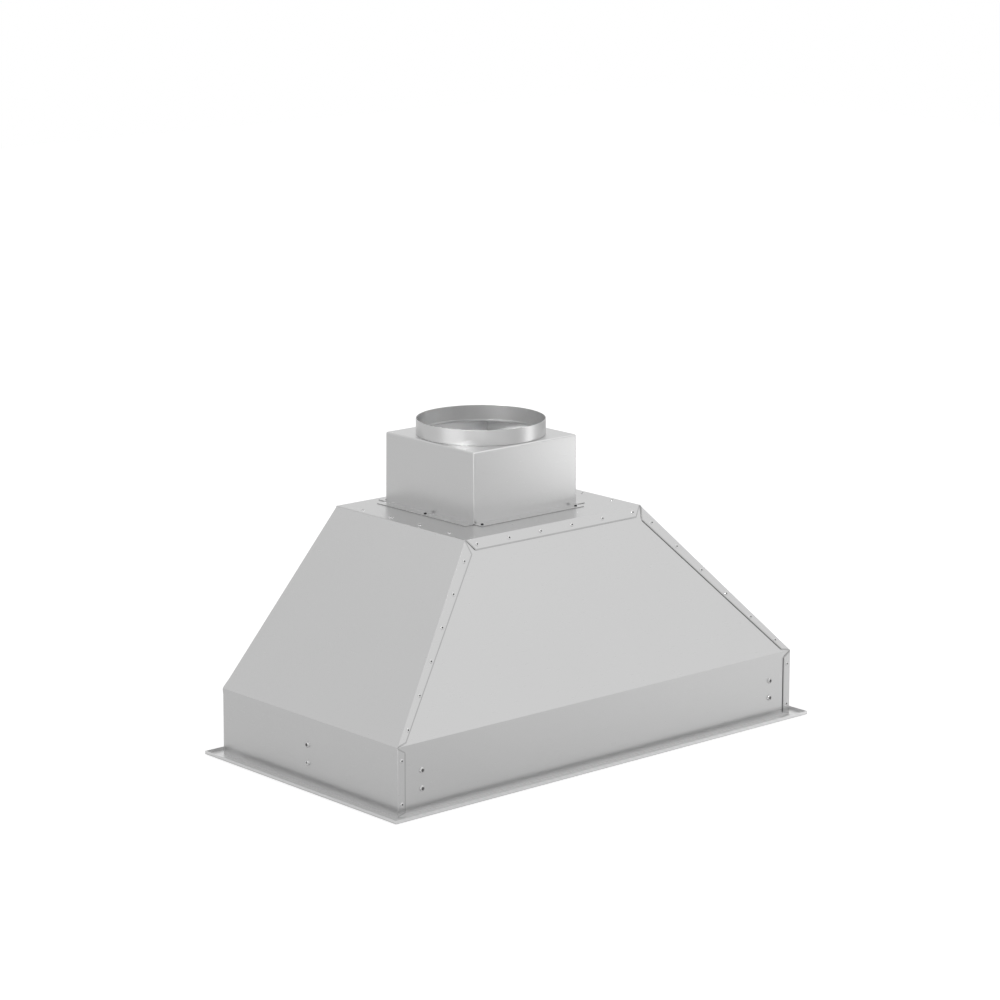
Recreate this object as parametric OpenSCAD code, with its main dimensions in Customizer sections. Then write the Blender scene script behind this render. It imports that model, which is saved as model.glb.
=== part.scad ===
// Ducted range hood insert: a riveted sheet-metal canopy with a transition box, a round duct
// collar, a backdraft damper, a blower, a lit bottom pan and two swing-down baffle filters.
// X runs across the hood, -Y is the front, +Z is up. The origin is the bottom centre.

/* [Body] */
// Width of the body across the skirt
body_w = 816; // [760:1:960]
// Depth of the body, front skirt to back panel
body_d = 420; // [400:1:480]
// Height of the upright skirt, up to the bend
skirt_h = 106.5; // [100:0.5:140]
// Height of the sloped part above the bend
slope_h = 253.5; // [245:0.5:300]
// Width of the flat top
top_w = 361; // [330:1:400]
// How far the front slope leans back
front_run = 113; // [100:1:125]
// Thickness of the body sheet
sheet = 1; // [0.8:0.1:1.2]

/* [Ledge] */
// Width of the ledge round the foot, outside the skirt
ledge_w = 21; // [12:0.5:30]
// Height of the ledge's upturned lip
ledge_lip_h = 5.5; // [3:0.5:10]

/* [Seams and rivets] */
// Width of the top plate's front flange, along the slope
top_strip_w = 18.5; // [16:0.5:24]
// Width of the end panels' front flange at its top
edge_strip_top_w = 25; // [22:0.5:30]
// Width of the end panels' front flange at the bend
edge_strip_low_w = 18; // [16:0.5:24]
// Width of the end panels' front flange on the skirt
skirt_strip_w = 15; // [12:0.5:20]
// Radius of a rivet's shank
rivet_r = 1.6; // [1.2:0.1:2]
// Radius of a rivet's head
rivet_head_r = 3.3; // [2.8:0.1:4]
// Height of a rivet's head
rivet_head_h = 1.1; // [0.6:0.1:1.6]
// Rivets along each slanted edge
edge_rivets = 6; // [4:1:8]
// Rivets along the top plate's front flange
top_rivets = 6; // [4:1:8]
// Rivets along each side of the top plate
side_rivets = 4; // [3:1:5]

/* [Transition box] */
// Side of the square transition box
box_w = 211.5; // [210:0.5:225]
// Height of the transition box
box_h = 113; // [95:1:150]
// Gap from the box to the back of the hood
box_setback = 30; // [26:1:40]
// Width of the box's foot flange
box_flange_w = 18; // [14:0.5:22]
// Radius of the fixing holes in the foot flange
box_hole_r = 2.4; // [1.8:0.1:3]
// Distance of the fixing holes from the box wall
box_hole_gap = 8.5; // [7:0.5:10]

/* [Duct collar] */
// Outer radius of the duct collar
collar_r = 101.6; // [95:0.1:102]
// Height of the collar above the box
collar_h = 24.5; // [18:0.5:60]
// Thickness of the collar sheet
collar_t = 1; // [0.6:0.1:1.5]

/* [Damper] */
// Gap between the damper frame and the box at each end
damper_gap_x = 8.75; // [6:0.25:16]
// Gap between the damper frame and the box at the front and the back
damper_gap_y = 25.75; // [24:0.25:32]
// Width of the damper frame's rim at each end
damper_rim_x = 12; // [10:0.5:15]
// Width of the damper frame's rim at the front and the back
damper_rim_y = 17; // [14:0.5:20]
// Radius of the damper rod
rod_r = 2; // [1.5:0.1:2.5]
// Thickness of a damper flap
flap_t = 0.8; // [0.6:0.1:1.2]

/* [Bottom pan] */
// Height of the pan's underside above the ledge's foot
pan_z = 24; // [20:0.5:32]
// Depth of the control strip along the front
strip_d = 104; // [96:1:120]
// Width of the pan behind the filters
pan_rear_d = 27; // [24:1:36]
// Width of the pan beside the filters
pan_side_w = 26; // [22:1:36]
// Width of the rail between the filters
mid_rail_w = 18; // [16:1:24]
// Width of an ear that the pan is screwed on by
ear_w = 30; // [24:1:40]
// Height of the ears above the pan
ear_h = 50; // [46:1:58]
// Distance of the outer ears from the ends of the hood
ear_inset = 46; // [38:1:60]
// Height of the lower ear screw above the pan's underside
ear_screw_z = 12; // [11:0.5:15]
// Distance between an ear's two screws
ear_screw_pitch = 28; // [22:0.5:30]
// Radius of the ear screws' shank
screw_r = 2; // [1.5:0.1:2.5]
// Radius of the ear screws' head
screw_head_r = 4.7; // [4:0.1:5.5]

/* [Filters] */
// Thickness of a baffle filter
filter_t = 14; // [12:0.5:18]
// Sheet thickness in the filters
filter_sheet = 1; // [0.8:0.1:1.2]
// Width of the filter frame's front rail
filter_front_w = 36; // [34:1:44]
// Width of the filter frame's other rails
filter_rail_w = 14; // [10:1:18]
// Spacing of the baffles in one row
baffle_pitch = 28; // [24:0.5:36]
// Width of a baffle
baffle_w = 20; // [16:0.5:21]
// How far the latch tongue slides back
latch_travel = 7; // [5:0.5:8]

/* [Blower] */
// Outer radius of the blower wheel
wheel_r = 75; // [65:1:78]
// Gap between the blower wheel and each side of the blower
wheel_end_gap = 11; // [10:0.5:16]
// Number of blades on the wheel
blades = 36; // [24:2:48]
// Largest radius of the scroll, at the outlet
scroll_r = 118; // [112:1:122]
// Depth of the wheel's axis below the top of the hood
wheel_drop = 145; // [140:1:150]
// Thickness of the blower sheet
blower_t = 1; // [0.8:0.1:1.2]
// Radius of the blower's inlet throats
inlet_r = 62; // [56:1:64]
// Radius of the motor shaft
shaft_r = 4; // [3:0.5:5]
// Outer radius of the motor
motor_r = 48; // [40:1:52]
// Length of the motor
motor_len = 70; // [60:1:80]
// Air gap between the motor and the blower's side
motor_gap = 22; // [16:1:30]

/* [Controls and lamps] */
// Radius of a button cap
button_r = 7; // [5:0.5:8]
// Distance between buttons
button_pitch = 30; // [26:1:34]
// Travel of a button
button_travel = 2; // [1:0.5:2.5]
// Radius of the lamp's lens
lens_r = 28.8; // [24:0.1:32]
// Distance of each lamp from the middle
lamp_x = 250; // [200:1:300]

/* [Hidden] */
$fn = 64;

// Longer than anything in the model, for prisms that only cut
far = 2000;
half_w = body_w / 2;
half_d = body_d / 2;
top_z = skirt_h + slope_h;
side_run = half_w - top_w / 2;
front_len = norm([front_run, slope_h]);
// Tilt of the front slope's outward normal, about X, from straight up
front_tilt = atan2(slope_h, front_run);
top_front_y = -half_d + front_run;
top_mid_y = (top_front_y + half_d) / 2;
under_top_z = top_z - sheet;

// Seams: where strips start and stop
strip_foot = sheet + 0.1;
skirt_strip_rise = 4;
skirt_strip_drop = 9;
edge_strip_rise = 3.5;
edge_strip_end = 21.5;
top_strip_mitre = 14.5;
seam_gap = 0.8;
top_strip_z = top_z - top_strip_w * slope_h / front_len;
inner_flange_w = 16;
top_flange_gap = 0.5;

// Rivets: first and last places along each seam
edge_rivet_first = 21.7;
edge_rivet_last = 31;
top_rivet_inset = 19.7;
side_rivet_inset = 11.5;
side_rivet_pitch = 69;
skirt_rivet_low = 19.4;
skirt_rivet_high = 21;
rivet_grip = 2 * sheet;
rivet_tail_r = 2.2;
rivet_tail_h = 1.5;
rivet_dimple_r = 0.9;
rivet_dimple_h = 0.6;

// Transition box and damper
box_half = box_w / 2;
box_y = half_d - box_setback - box_half;
box_top_z = top_z + box_h;
box_hole_corner = 9;
relief_r = 1.6;
collar_clear = 0.05;
collar_neck_rise = 0.2;
collar_neck_r = collar_r - 0.6 * collar_t;
collar_foot_w = 2.7;
outlet_w = box_w - 2 * (sheet + damper_gap_x + damper_rim_x);
outlet_d = box_w - 2 * (sheet + damper_gap_y + damper_rim_y);
barrel_r = 3.4;
flap_seat = 0.2;
rod_z = top_z + sheet + flap_seat + barrel_r;
barrel_clear = 0.06;
flap_gap = barrel_r + 0.5;
flap_lap = 4;
flap_side_lap = 3;
flap_half_w = outlet_w / 2 + flap_side_lap;
barrel_len = 30;
barrel_outer_inset = 4;
barrel_inner_inset = 5;
damper_ear_inset = 6;
ear_x = outlet_w / 2 + damper_ear_inset;
damper_ear_r = 6;
outlet_cut_gap = 2;

// Bottom pan
pan_top = pan_z + sheet;
pan_half_w = half_w - sheet;
pan_half_d = half_d - sheet;
pan_lip_h = 10;
open_front = -pan_half_d + strip_d;
open_rear = pan_half_d - pan_rear_d;
open_w = (2 * pan_half_w - 2 * pan_side_w - mid_rail_w) / 2;
open_x = (mid_rail_w + open_w) / 2;
hem_h = 1.2;
hem_w = 6;
ear_front_x = half_w - ear_inset;
screw_low = pan_z + ear_screw_z;
strip_y = -pan_half_d + strip_d / 2;
screw_head_h = 2.6;
nut_h = 3.2;
nut_r = 4.04;
screw_end = 1;
screw_head_top = 0.7;
cross_len = 4.4;
cross_w = 0.9;
cross_depth = 1.5;

// Filters
filter_gap = 1;
filter_lap = 8;
filter_seat = 0.3;
rail_rise = 4;
centre_rail_gap = 1;
filter_w = open_w - 2 * filter_gap;
filter_z = pan_top + filter_seat;
filter_front = open_front + filter_gap;
filter_rear = open_rear + filter_lap;
baffle_lap = 6;
baffle_t = 0.8;
baffle_leg = 7.5;
baffle_count = floor((filter_w - 2 * filter_sheet - baffle_w) / baffle_pitch) + 1;
latch_w = 36;
latch_t = 2;
latch_lift = 0.2;
latch_z = filter_z + filter_sheet + latch_lift;
latch_reach = 6;
latch_back = 20;
knob_r = 8;
knob_stem_r = 3;
knob_drop = 13;
knob_h = 8;
knob_inset = 13;
knob_y = filter_front + knob_inset;
latch_slot = 0.3;

// Blower
outlet_rear = box_y + outlet_d / 2;
outlet_front = box_y - outlet_d / 2;
wheel_len = outlet_w - 2 * wheel_end_gap;
wheel_y = outlet_rear - scroll_r;
wheel_z = top_z - wheel_drop;
scroll_gap = 7;
scroll_start = wheel_r + scroll_gap;
side_x = outlet_w / 2;
cut_angle = acos((outlet_front - wheel_y) / scroll_start);
scroll_steps = 44;
inlet_lip_w = 14;
inlet_throat = 6;
inlet_edge = 1.5;
flange_t = 1.2;
flange_lap = 20;
stud_r = 2.5;
stud_len = 14;
stud_inset = 10;
stud_nut_r = 4.6;
stud_nut_h = 4;
stud_clear = 0.2;
hub_r = 14;
hub_len = 30;
blade_t = 0.8;
blade_d = 14;
blade_lean = 25;
ring_t = 1.5;
blade_inset = 2;
disc_t = 2;
shaft_clear = 0.05;
shaft_hole_gap = 1;
motor_front_x = -(side_x + blower_t + motor_gap);
motor_back_x = motor_front_x - motor_len;
motor_wall = 2;
bearing_r = 11;
bearing_t = 7;
bearing_seat_w = 3;
shaft_end_gap = 0.5;
rotor_len = 40;
rotor_r = 26;
rotor_gap = 0.5;
bracket_leg_r = 80;
bracket_leg_t = 4;
bracket_leg_w = 12;
bracket_ring_w = 14;
bracket_ring_t = 2;
bracket_spoke_t = 3;
bracket_angles = [30, 150, 270];

// Electrical parts on the back panel
back_y = half_d - sheet;
jbox_x = 230;
jbox_w = 100;
jbox_d = 45;
jbox_h = 70;
jbox_z = 165;
jbox_t = 1;
bush_r = 7;
bush_wall = 3;
bush_flange = 2;
bush_rise = 5;
bush_z = jbox_z + bush_rise;
bush_lip = 2;
cap_r = 17;
cap_len = 60;
cap_x = -260;
cap_z = 190;
clip_w = 16;
clip_t = 1;
clip_foot = 12;
cap_gap = 2;
driver_w = 90;
driver_d = 28;
driver_h = 34;
driver_x = 110;
driver_z = 80;

// Controls and lamps in the front strip
control_w = 150;
control_d = 40;
control_h = 35;
control_t = 1.5;
control_cut_w = 118;
control_cut_d = 22;
bezel_w = 136;
bezel_d = 34;
bezel_t = 2.5;
bezel_clear = 0.2;
button_drop = bezel_t + button_travel;
button_flange_w = 1.5;
button_flange_h = 1.5;
stem_r = 2.5;
stem_end = button_travel + 0.5;
board_drop = 8;
board_z = pan_top + control_h - control_t - board_drop;
board_clear = 0.1;
board_t = 1.6;
switch_h = 3;
switch_w = 7;
button_top = board_z - switch_h - stem_end;
lamp_wall = 1;
lamp_can_h = 28;
lamp_can_gap = 4.2;
lamp_can_r = lens_r + lamp_can_gap;
lamp_bezel_w = 7.2;
lamp_bezel_r = lens_r + lamp_bezel_w;
lamp_lip = 1.8;
lamp_neck_h = 6;
lens_clear = 0.1;
lamp_bezel_t = 2;
lamp_clear = 0.2;
lens_t = 2;
led_t = 1.6;

// Internal cables
cable_r = 3;
cable_bend = 12;
cable_gap = 0.3;
motor_cable_drop = 29;
motor_cable_rise = 10;
control_cable_gap = 8;
control_cable_inset = 20;
lead_r = 2;
lead_gap = 0.05;

// Points up one wall, as distance from the middle and height: foot, bend and top.
// in is how far inside the outer face the line lies.
function wall_points(half, run, in, z0, z1) =
    let (len = norm([run, slope_h]))
    [
        [half - in, z0],
        [half - in, skirt_h - in * run / (len + slope_h)],
        [half - run - in * len / slope_h + (top_z - z1) * run / slope_h, z1]
    ];

function mirrored(points) = [for (p = points) [-p[0], p[1]]];

function reversed(points) = [for (i = [len(points) - 1 : -1 : 0]) points[i]];

// Outline across the hood, seen from the front, with both side walls moved in
function front_outline(in, z0, z1) =
    let (right = wall_points(half_w, side_run, in, z0, z1))
    concat(right, reversed(mirrored(right)));

// X of a slanted side edge at height z
function edge_x(z) = top_w / 2 + (top_z - z) * side_run / slope_h;

// Y of the front slope's outer face at height z, with out the distance outside it
function front_y(z, out = 0) =
    top_front_y - (top_z - z) * front_run / slope_h - out * front_len / slope_h;

// Width of the slanted strip at height z
function strip_w_at(z) =
    edge_strip_low_w + (edge_strip_top_w - edge_strip_low_w) * (z - skirt_h) / slope_h;

// Extrudes an outline drawn in X and Z along Y
module along_y(y0, y1) {
    translate([0, y1, 0]) rotate([90, 0, 0]) linear_extrude(height = y1 - y0) children();
}

// Extrudes an outline drawn in Y and Z along X
module along_x(x0, x1) {
    translate([x0, 0, 0]) rotate([90, 0, 90]) linear_extrude(height = x1 - x0) children();
}

// A box given by its lowest and highest corners
module block(low, high) {
    translate(low) cube(high - low);
}

// A box centred in X and Y
module pad(centre, size) {
    translate([centre[0] - size[0] / 2, centre[1] - size[1] / 2, centre[2]]) cube(size);
}

module both_sides() {
    children();
    mirror([1, 0, 0]) children();
}

// Bent sheet of the front wall, between two distances outside its outer face
module front_layer(out, in, z0, z1) {
    outer = wall_points(half_d, front_run, -out, z0, z1);
    inner = wall_points(half_d, front_run, in, z0, z1);
    along_x(-half_w - 1, half_w + 1)
        polygon(mirrored(concat(outer, reversed(inner))));
}

// One side of the ledge, bent out of a wall at distance half, mitred at both corners
module ledge(half, half_len) {
    intersection() {
        along_x(-far / 2, far / 2)
            polygon([
                [-half + sheet, 0],
                [-half + sheet, sheet],
                [-half - ledge_w + sheet, sheet],
                [-half - ledge_w + sheet, ledge_lip_h],
                [-half - ledge_w, ledge_lip_h],
                [-half - ledge_w, 0]
            ]);
        linear_extrude(height = ledge_lip_h)
            polygon([
                [half_len - sheet, -half + sheet],
                [half_len - sheet, -half],
                [half_len, -half],
                [half_len + ledge_w, -half - ledge_w],
                [-half_len - ledge_w, -half - ledge_w],
                [-half_len, -half],
                [-half_len + sheet, -half],
                [-half_len + sheet, -half + sheet]
            ]);
    }
}

// Outlines of the strips that the end panels fold over the front, seen from the front
module skirt_strip() {
    polygon([
        [half_w, strip_foot],
        [half_w - skirt_strip_w, strip_foot + skirt_strip_rise],
        [half_w - skirt_strip_w, skirt_h - skirt_strip_drop],
        [half_w, skirt_h]
    ]);
}

module edge_strip() {
    end_z = top_z - edge_strip_end;
    polygon([
        [half_w, skirt_h],
        [half_w - edge_strip_low_w, skirt_h + edge_strip_rise],
        [edge_x(end_z) - edge_strip_top_w, end_z],
        [top_w / 2, top_z]
    ]);
}

// One end of the top plate, seen from the front: its edge and its flanges' mitre
function top_flange_corner() = [
    [top_w / 2 - top_strip_mitre, top_strip_z],
    [top_w / 2 - seam_gap, under_top_z],
    [edge_x(under_top_z), under_top_z],
    [top_w / 2, top_z]
];

// Places of the rivets, each as [x, y, z, tilt about X of the outward direction]
edge_rivet_step = (front_len - edge_rivet_first - edge_rivet_last) / (edge_rivets - 1);
edge_rivet_z = [
    for (i = [0 : edge_rivets - 1])
        skirt_h + (edge_rivet_first + i * edge_rivet_step) * slope_h / front_len
];
top_rivet_x = [
    for (i = [0 : top_rivets - 1])
        (top_w / 2 - top_rivet_inset) * (2 * i / (top_rivets - 1) - 1)
];
front_edge_spots = [
    for (z = edge_rivet_z) [edge_x(z) - strip_w_at(z) / 2, front_y(z, sheet), z, front_tilt]
];
skirt_rivet_z = [skirt_rivet_low, skirt_h - skirt_rivet_high];
front_skirt_spots = [
    for (z = skirt_rivet_z) [half_w - skirt_strip_w / 2, -half_d - sheet, z, 90]
];
rear_spots = concat(
    [for (s = front_edge_spots) [s[0], half_d + sheet, s[2], -90]],
    [for (s = front_skirt_spots) [s[0], half_d + sheet, s[2], -90]]
);
top_side_spots = [
    for (i = [0 : side_rivets - 1])
        [
            top_w / 2 - side_rivet_inset,
            top_mid_y + (i - (side_rivets - 1) / 2) * side_rivet_pitch,
            top_z,
            0
        ]
];
top_front_z = (top_z + top_strip_z) / 2;
top_strip_spots = [
    for (x = top_rivet_x) [x, front_y(top_front_z, sheet), top_front_z, front_tilt]
];
top_rear_spots = [for (x = top_rivet_x) [x, half_d + sheet, top_front_z, -90]];

module at_spots(spots) {
    for (s = spots) translate([s[0], s[1], s[2]]) rotate([s[3], 0, 0]) children();
}

module rivet_hole() {
    translate([0, 0, -rivet_grip - 1]) cylinder(h = rivet_grip + 2, r = rivet_r);
}

module rivet() {
    translate([0, 0, -rivet_grip]) cylinder(h = rivet_grip, r = rivet_r);
    translate([0, 0, -rivet_grip - rivet_tail_h]) cylinder(h = rivet_tail_h, r = rivet_tail_r);
    difference() {
        cylinder(h = rivet_head_h, r1 = rivet_head_r, r2 = rivet_head_r * 0.66);
        translate([0, 0, rivet_head_h - rivet_dimple_h])
            cylinder(h = rivet_dimple_h + 1, r = rivet_dimple_r);
    }
}

module end_panel() {
    color("gainsboro") difference() {
        union() {
            // The skirt and slope, one bent sheet cut to the front wall's slope
            intersection() {
                along_y(-far / 2, far / 2)
                    polygon(concat(
                        wall_points(half_w, side_run, 0, 0, under_top_z),
                        reversed(wall_points(half_w, side_run, sheet, 0, under_top_z))
                    ));
                along_x(0, far / 2)
                    polygon(concat(
                        [[half_d, strip_foot], [half_d, 0], [-half_d, 0], [-half_d, strip_foot]],
                        mirrored(wall_points(half_d, front_run, -sheet, strip_foot, under_top_z)),
                        [[half_d + sheet, under_top_z], [half_d + sheet, strip_foot]]
                    ));
            }
            // The strips folded over the front panel
            intersection() {
                front_layer(sheet, 0, strip_foot, under_top_z);
                along_y(-far / 2, 0) union() {
                    skirt_strip();
                    edge_strip();
                }
            }
            // The flange folded over the back panel
            along_y(half_d, half_d + sheet) intersection() {
                union() {
                    skirt_strip();
                    edge_strip();
                }
                polygon(front_outline(0, strip_foot, under_top_z));
            }
            // The flange folded under the top plate
            block(
                [edge_x(top_z) - inner_flange_w, front_y(under_top_z, -sheet) + top_flange_gap,
                    under_top_z - sheet],
                [edge_x(under_top_z) - sheet / 2, half_d - sheet, under_top_z]
            );
            rotate([0, 0, 90]) ledge(half_w, half_d);
        }
        at_spots(front_edge_spots) rivet_hole();
        at_spots(front_skirt_spots) rivet_hole();
        at_spots(rear_spots) rivet_hole();
        at_spots(top_side_spots) rivet_hole();
        for (k = [0, 1])
            translate([half_w, 0, screw_low + k * ear_screw_pitch]) rotate([0, 90, 0])
                screw_hole();
    }
}

module right_end_panel() {
    end_panel();
}

module left_end_panel() {
    mirror([1, 0, 0]) end_panel();
}

// Screws through the skirt into the pan's ears, each as [x, y, turn about Z]
ear_spots = [
    [ear_front_x, -half_d, 0],
    [-ear_front_x, -half_d, 0],
    [half_w, 0, 90],
    [-half_w, 0, -90],
    [ear_front_x, half_d, 180],
    [-ear_front_x, half_d, 180]
];

module screw_hole() {
    translate([0, 0, -2 * sheet - 1]) cylinder(h = 2 * sheet + 2, r = screw_r);
}

module at_ear_screws() {
    for (s = ear_spots, k = [0, 1])
        translate([s[0], s[1], screw_low + k * ear_screw_pitch]) rotate([90, 0, s[2]]) children();
}

module front_panel() {
    color("gainsboro") difference() {
        union() {
            intersection() {
                front_layer(0, sheet, 0, under_top_z);
                along_y(-far / 2, 0) polygon(front_outline(sheet, 0, under_top_z));
            }
            ledge(half_d, half_w);
        }
        both_sides() at_spots(concat(front_edge_spots, front_skirt_spots)) rivet_hole();
        at_spots(top_strip_spots) rivet_hole();
        at_ear_screws() screw_hole();
    }
}

module back_panel() {
    color("silver") difference() {
        union() {
            along_y(half_d - sheet, half_d) polygon(front_outline(sheet, 0, under_top_z));
            mirror([0, 1, 0]) ledge(half_d, half_w);
        }
        both_sides() at_spots(rear_spots) rivet_hole();
        at_spots(top_rear_spots) rivet_hole();
        at_ear_screws() screw_hole();
        translate([jbox_x, half_d, bush_z]) rotate([-90, 0, 0])
            cylinder(h = 4 * sheet, r = bush_r + bush_wall, center = true);
    }
}

module box_holes(height) {
    for (sx = [-1, 1]) {
        for (sy = [-1, 1])
            translate([sx * (box_half - box_hole_corner), box_y + sy * (box_half + box_hole_gap), 0])
                cylinder(h = height, r = box_hole_r);
        translate([sx * (box_half + box_hole_gap), box_y, 0]) cylinder(h = height, r = box_hole_r);
    }
}

module top_plate() {
    color("gainsboro") difference() {
        // One sheet bent down at the front and the back, with the flanges' ends mitred
        intersection() {
            along_x(-half_w, half_w) polygon([
                [front_y(top_strip_z, sheet), top_strip_z],
                [front_y(top_z, sheet), top_z],
                [half_d + sheet, top_z],
                [half_d + sheet, top_strip_z],
                [half_d, top_strip_z],
                [half_d, under_top_z],
                [front_y(under_top_z), under_top_z],
                [front_y(top_strip_z), top_strip_z]
            ]);
            along_y(-half_d, half_d + 2 * sheet) polygon(concat(
                top_flange_corner(), reversed(mirrored(top_flange_corner()))
            ));
        }
        at_spots(top_strip_spots) rivet_hole();
        at_spots(top_rear_spots) rivet_hole();
        both_sides() at_spots(top_side_spots) rivet_hole();
        pad([0, box_y, top_z - 2 * sheet],
            [outlet_w + 2 * outlet_cut_gap, outlet_d + 2 * outlet_cut_gap, 3 * sheet]);
        translate([0, 0, top_z - 2 * sheet]) box_holes(3 * sheet);
    }
}

module shell_rivets() {
    color("darkgray") {
        both_sides() at_spots(concat(front_edge_spots, front_skirt_spots, rear_spots)) rivet();
        both_sides() at_spots(top_side_spots) rivet();
        at_spots(concat(top_strip_spots, top_rear_spots)) rivet();
    }
}

module transition_box() {
    color("lightgray") difference() {
        union() {
            difference() {
                pad([0, box_y, top_z], [box_w, box_w, box_h]);
                pad([0, box_y, top_z - 1], [box_w - 2 * sheet, box_w - 2 * sheet, box_h + 1 - sheet]);
            }
            // The foot flange, open at the corners
            difference() {
                union() {
                    pad([0, box_y, top_z], [box_w + 2 * box_flange_w, box_w, sheet]);
                    pad([0, box_y, top_z], [box_w, box_w + 2 * box_flange_w, sheet]);
                }
                pad([0, box_y, top_z - 1], [box_w - 2 * sheet, box_w - 2 * sheet, sheet + 2]);
            }
        }
        translate([0, 0, top_z - 1]) box_holes(sheet + 2);
        for (sx = [-1, 1], sy = [-1, 1])
            translate([sx * (box_half + relief_r / 2), box_y + sy * (box_half + relief_r / 2), top_z - 1])
                cylinder(h = sheet + 1, r = relief_r);
        translate([0, box_y, box_top_z - 2 * sheet])
            cylinder(h = 3 * sheet, r = collar_neck_r + collar_clear, $fn = 128);
    }
}

module duct_collar() {
    foot_z = box_top_z - sheet - collar_t;
    wall_z = box_top_z + collar_neck_rise;
    color("silver") translate([0, box_y, 0]) difference() {
        union() {
            translate([0, 0, wall_z])
                cylinder(h = box_top_z + collar_h - wall_z, r = collar_r, $fn = 128);
            // The neck in the box's hole, above which the wall is swaged out
            translate([0, 0, foot_z])
                cylinder(h = wall_z - foot_z + collar_t, r = collar_neck_r, $fn = 128);
            translate([0, 0, foot_z]) cylinder(h = collar_t, r = collar_r + collar_foot_w, $fn = 128);
        }
        translate([0, 0, foot_z - 1])
            cylinder(h = far, r = collar_neck_r - collar_t, $fn = 128);
        translate([0, 0, wall_z + collar_t])
            cylinder(h = far, r = collar_r - collar_t, $fn = 128);
    }
}

module damper_frame() {
    color("darkgray") difference() {
        union() {
            difference() {
                pad([0, box_y, top_z],
                    [outlet_w + 2 * damper_rim_x, outlet_d + 2 * damper_rim_y, sheet]);
                pad([0, box_y, top_z - 1], [outlet_w, outlet_d, sheet + 2]);
            }
            // Ears that carry the rod
            both_sides()
                block([ear_x, box_y - damper_ear_r, top_z],
                    [ear_x + sheet, box_y + damper_ear_r, rod_z + damper_ear_r]);
        }
        translate([-far / 2, box_y, rod_z]) rotate([0, 90, 0]) cylinder(h = far, r = rod_r);
    }
}

module damper_rod() {
    rod_half = ear_x + 3 * sheet;
    color("dimgray") translate([-rod_half, box_y, rod_z]) rotate([0, 90, 0])
        cylinder(h = 2 * rod_half, r = rod_r);
}

// A flap to the front of the rod, hung by barrels at the given places
module damper_flap(barrels) {
    plate_z = rod_z - barrel_r;
    color("silver") difference() {
        union() {
            block([-flap_half_w, box_y - outlet_d / 2 - flap_lap, plate_z],
                [flap_half_w, box_y - flap_gap, plate_z + flap_t]);
            for (x = barrels) {
                block([x - barrel_len / 2, box_y - flap_gap - 1, plate_z],
                    [x + barrel_len / 2, box_y, plate_z + flap_t]);
                translate([x - barrel_len / 2, box_y, rod_z]) rotate([0, 90, 0])
                    cylinder(h = barrel_len, r = barrel_r);
            }
        }
        translate([-far / 2, box_y, rod_z]) rotate([0, 90, 0])
            cylinder(h = far, r = rod_r + barrel_clear);
    }
}

module front_damper_flap() {
    x = flap_half_w - barrel_len / 2 - barrel_outer_inset;
    damper_flap([-x, x]);
}

module rear_damper_flap() {
    x = barrel_len / 2 + barrel_inner_inset;
    translate([0, 2 * box_y, 0]) mirror([0, 1, 0]) damper_flap([-x, x]);
}

module bottom_pan() {
    color("lightgray") difference() {
        union() {
            block([-pan_half_w, -pan_half_d, pan_z], [pan_half_w, pan_half_d, pan_top]);
            // The upturned rim
            difference() {
                block([-pan_half_w, -pan_half_d, pan_z],
                    [pan_half_w, pan_half_d, pan_top + pan_lip_h]);
                block([-pan_half_w + sheet, -pan_half_d + sheet, pan_z - 1],
                    [pan_half_w - sheet, pan_half_d - sheet, far]);
            }
            // The ears that take the screws
            for (s = ear_spots)
                translate([s[0], s[1], pan_z]) rotate([0, 0, s[2]])
                    translate([-ear_w / 2, sheet, 0]) cube([ear_w, sheet, ear_h]);
            // The hem that the filter latches hook over
            for (sx = [-1, 1])
                block([sx * open_x - open_w / 2, open_front - hem_w, pan_top],
                    [sx * open_x + open_w / 2, open_front, pan_top + hem_h]);
        }
        for (sx = [-1, 1]) {
            block([sx * open_x - open_w / 2, open_front, pan_z - 1],
                [sx * open_x + open_w / 2, open_rear, pan_top + 1]);
            translate([sx * lamp_x, strip_y, pan_z - 1])
                cylinder(h = sheet + 2, r = lens_r + lamp_lip);
        }
        pad([0, strip_y, pan_z - 1], [control_cut_w, control_cut_d, sheet + 2]);
        at_ear_screws() screw_hole();
    }
}

module liner_screws() {
    color("silver") at_ear_screws() {
        translate([0, 0, -2 * sheet - nut_h - screw_end])
            cylinder(h = 2 * sheet + nut_h + screw_end, r = screw_r);
        difference() {
            union() {
                cylinder(h = screw_head_h / 2, r = screw_head_r);
                translate([0, 0, screw_head_h / 2]) cylinder(
                    h = screw_head_h / 2,
                    r1 = screw_head_r,
                    r2 = screw_head_r * screw_head_top
                );
            }
            for (a = [0, 90])
                rotate([0, 0, a]) translate([0, 0, screw_head_h])
                    cube([cross_len, cross_w, 2 * cross_depth], center = true);
        }
    }
}

module liner_nuts() {
    color("gray") at_ear_screws() translate([0, 0, -2 * sheet - nut_h]) difference() {
        cylinder(h = nut_h, r = nut_r, $fn = 6);
        translate([0, 0, -1]) cylinder(h = nut_h + 2, r = screw_r);
    }
}

module rear_filter_rail() {
    rail_y = filter_rear + filter_gap;
    rail_half = open_x + open_w / 2;
    color("silver") along_x(-rail_half, rail_half) polygon([
        [rail_y, pan_top],
        [pan_half_d - 2 * sheet, pan_top],
        [pan_half_d - 2 * sheet, pan_top + sheet],
        [rail_y + sheet, pan_top + sheet],
        [rail_y + sheet, filter_z + filter_t + rail_rise],
        [rail_y, filter_z + filter_t + rail_rise]
    ]);
}

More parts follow.
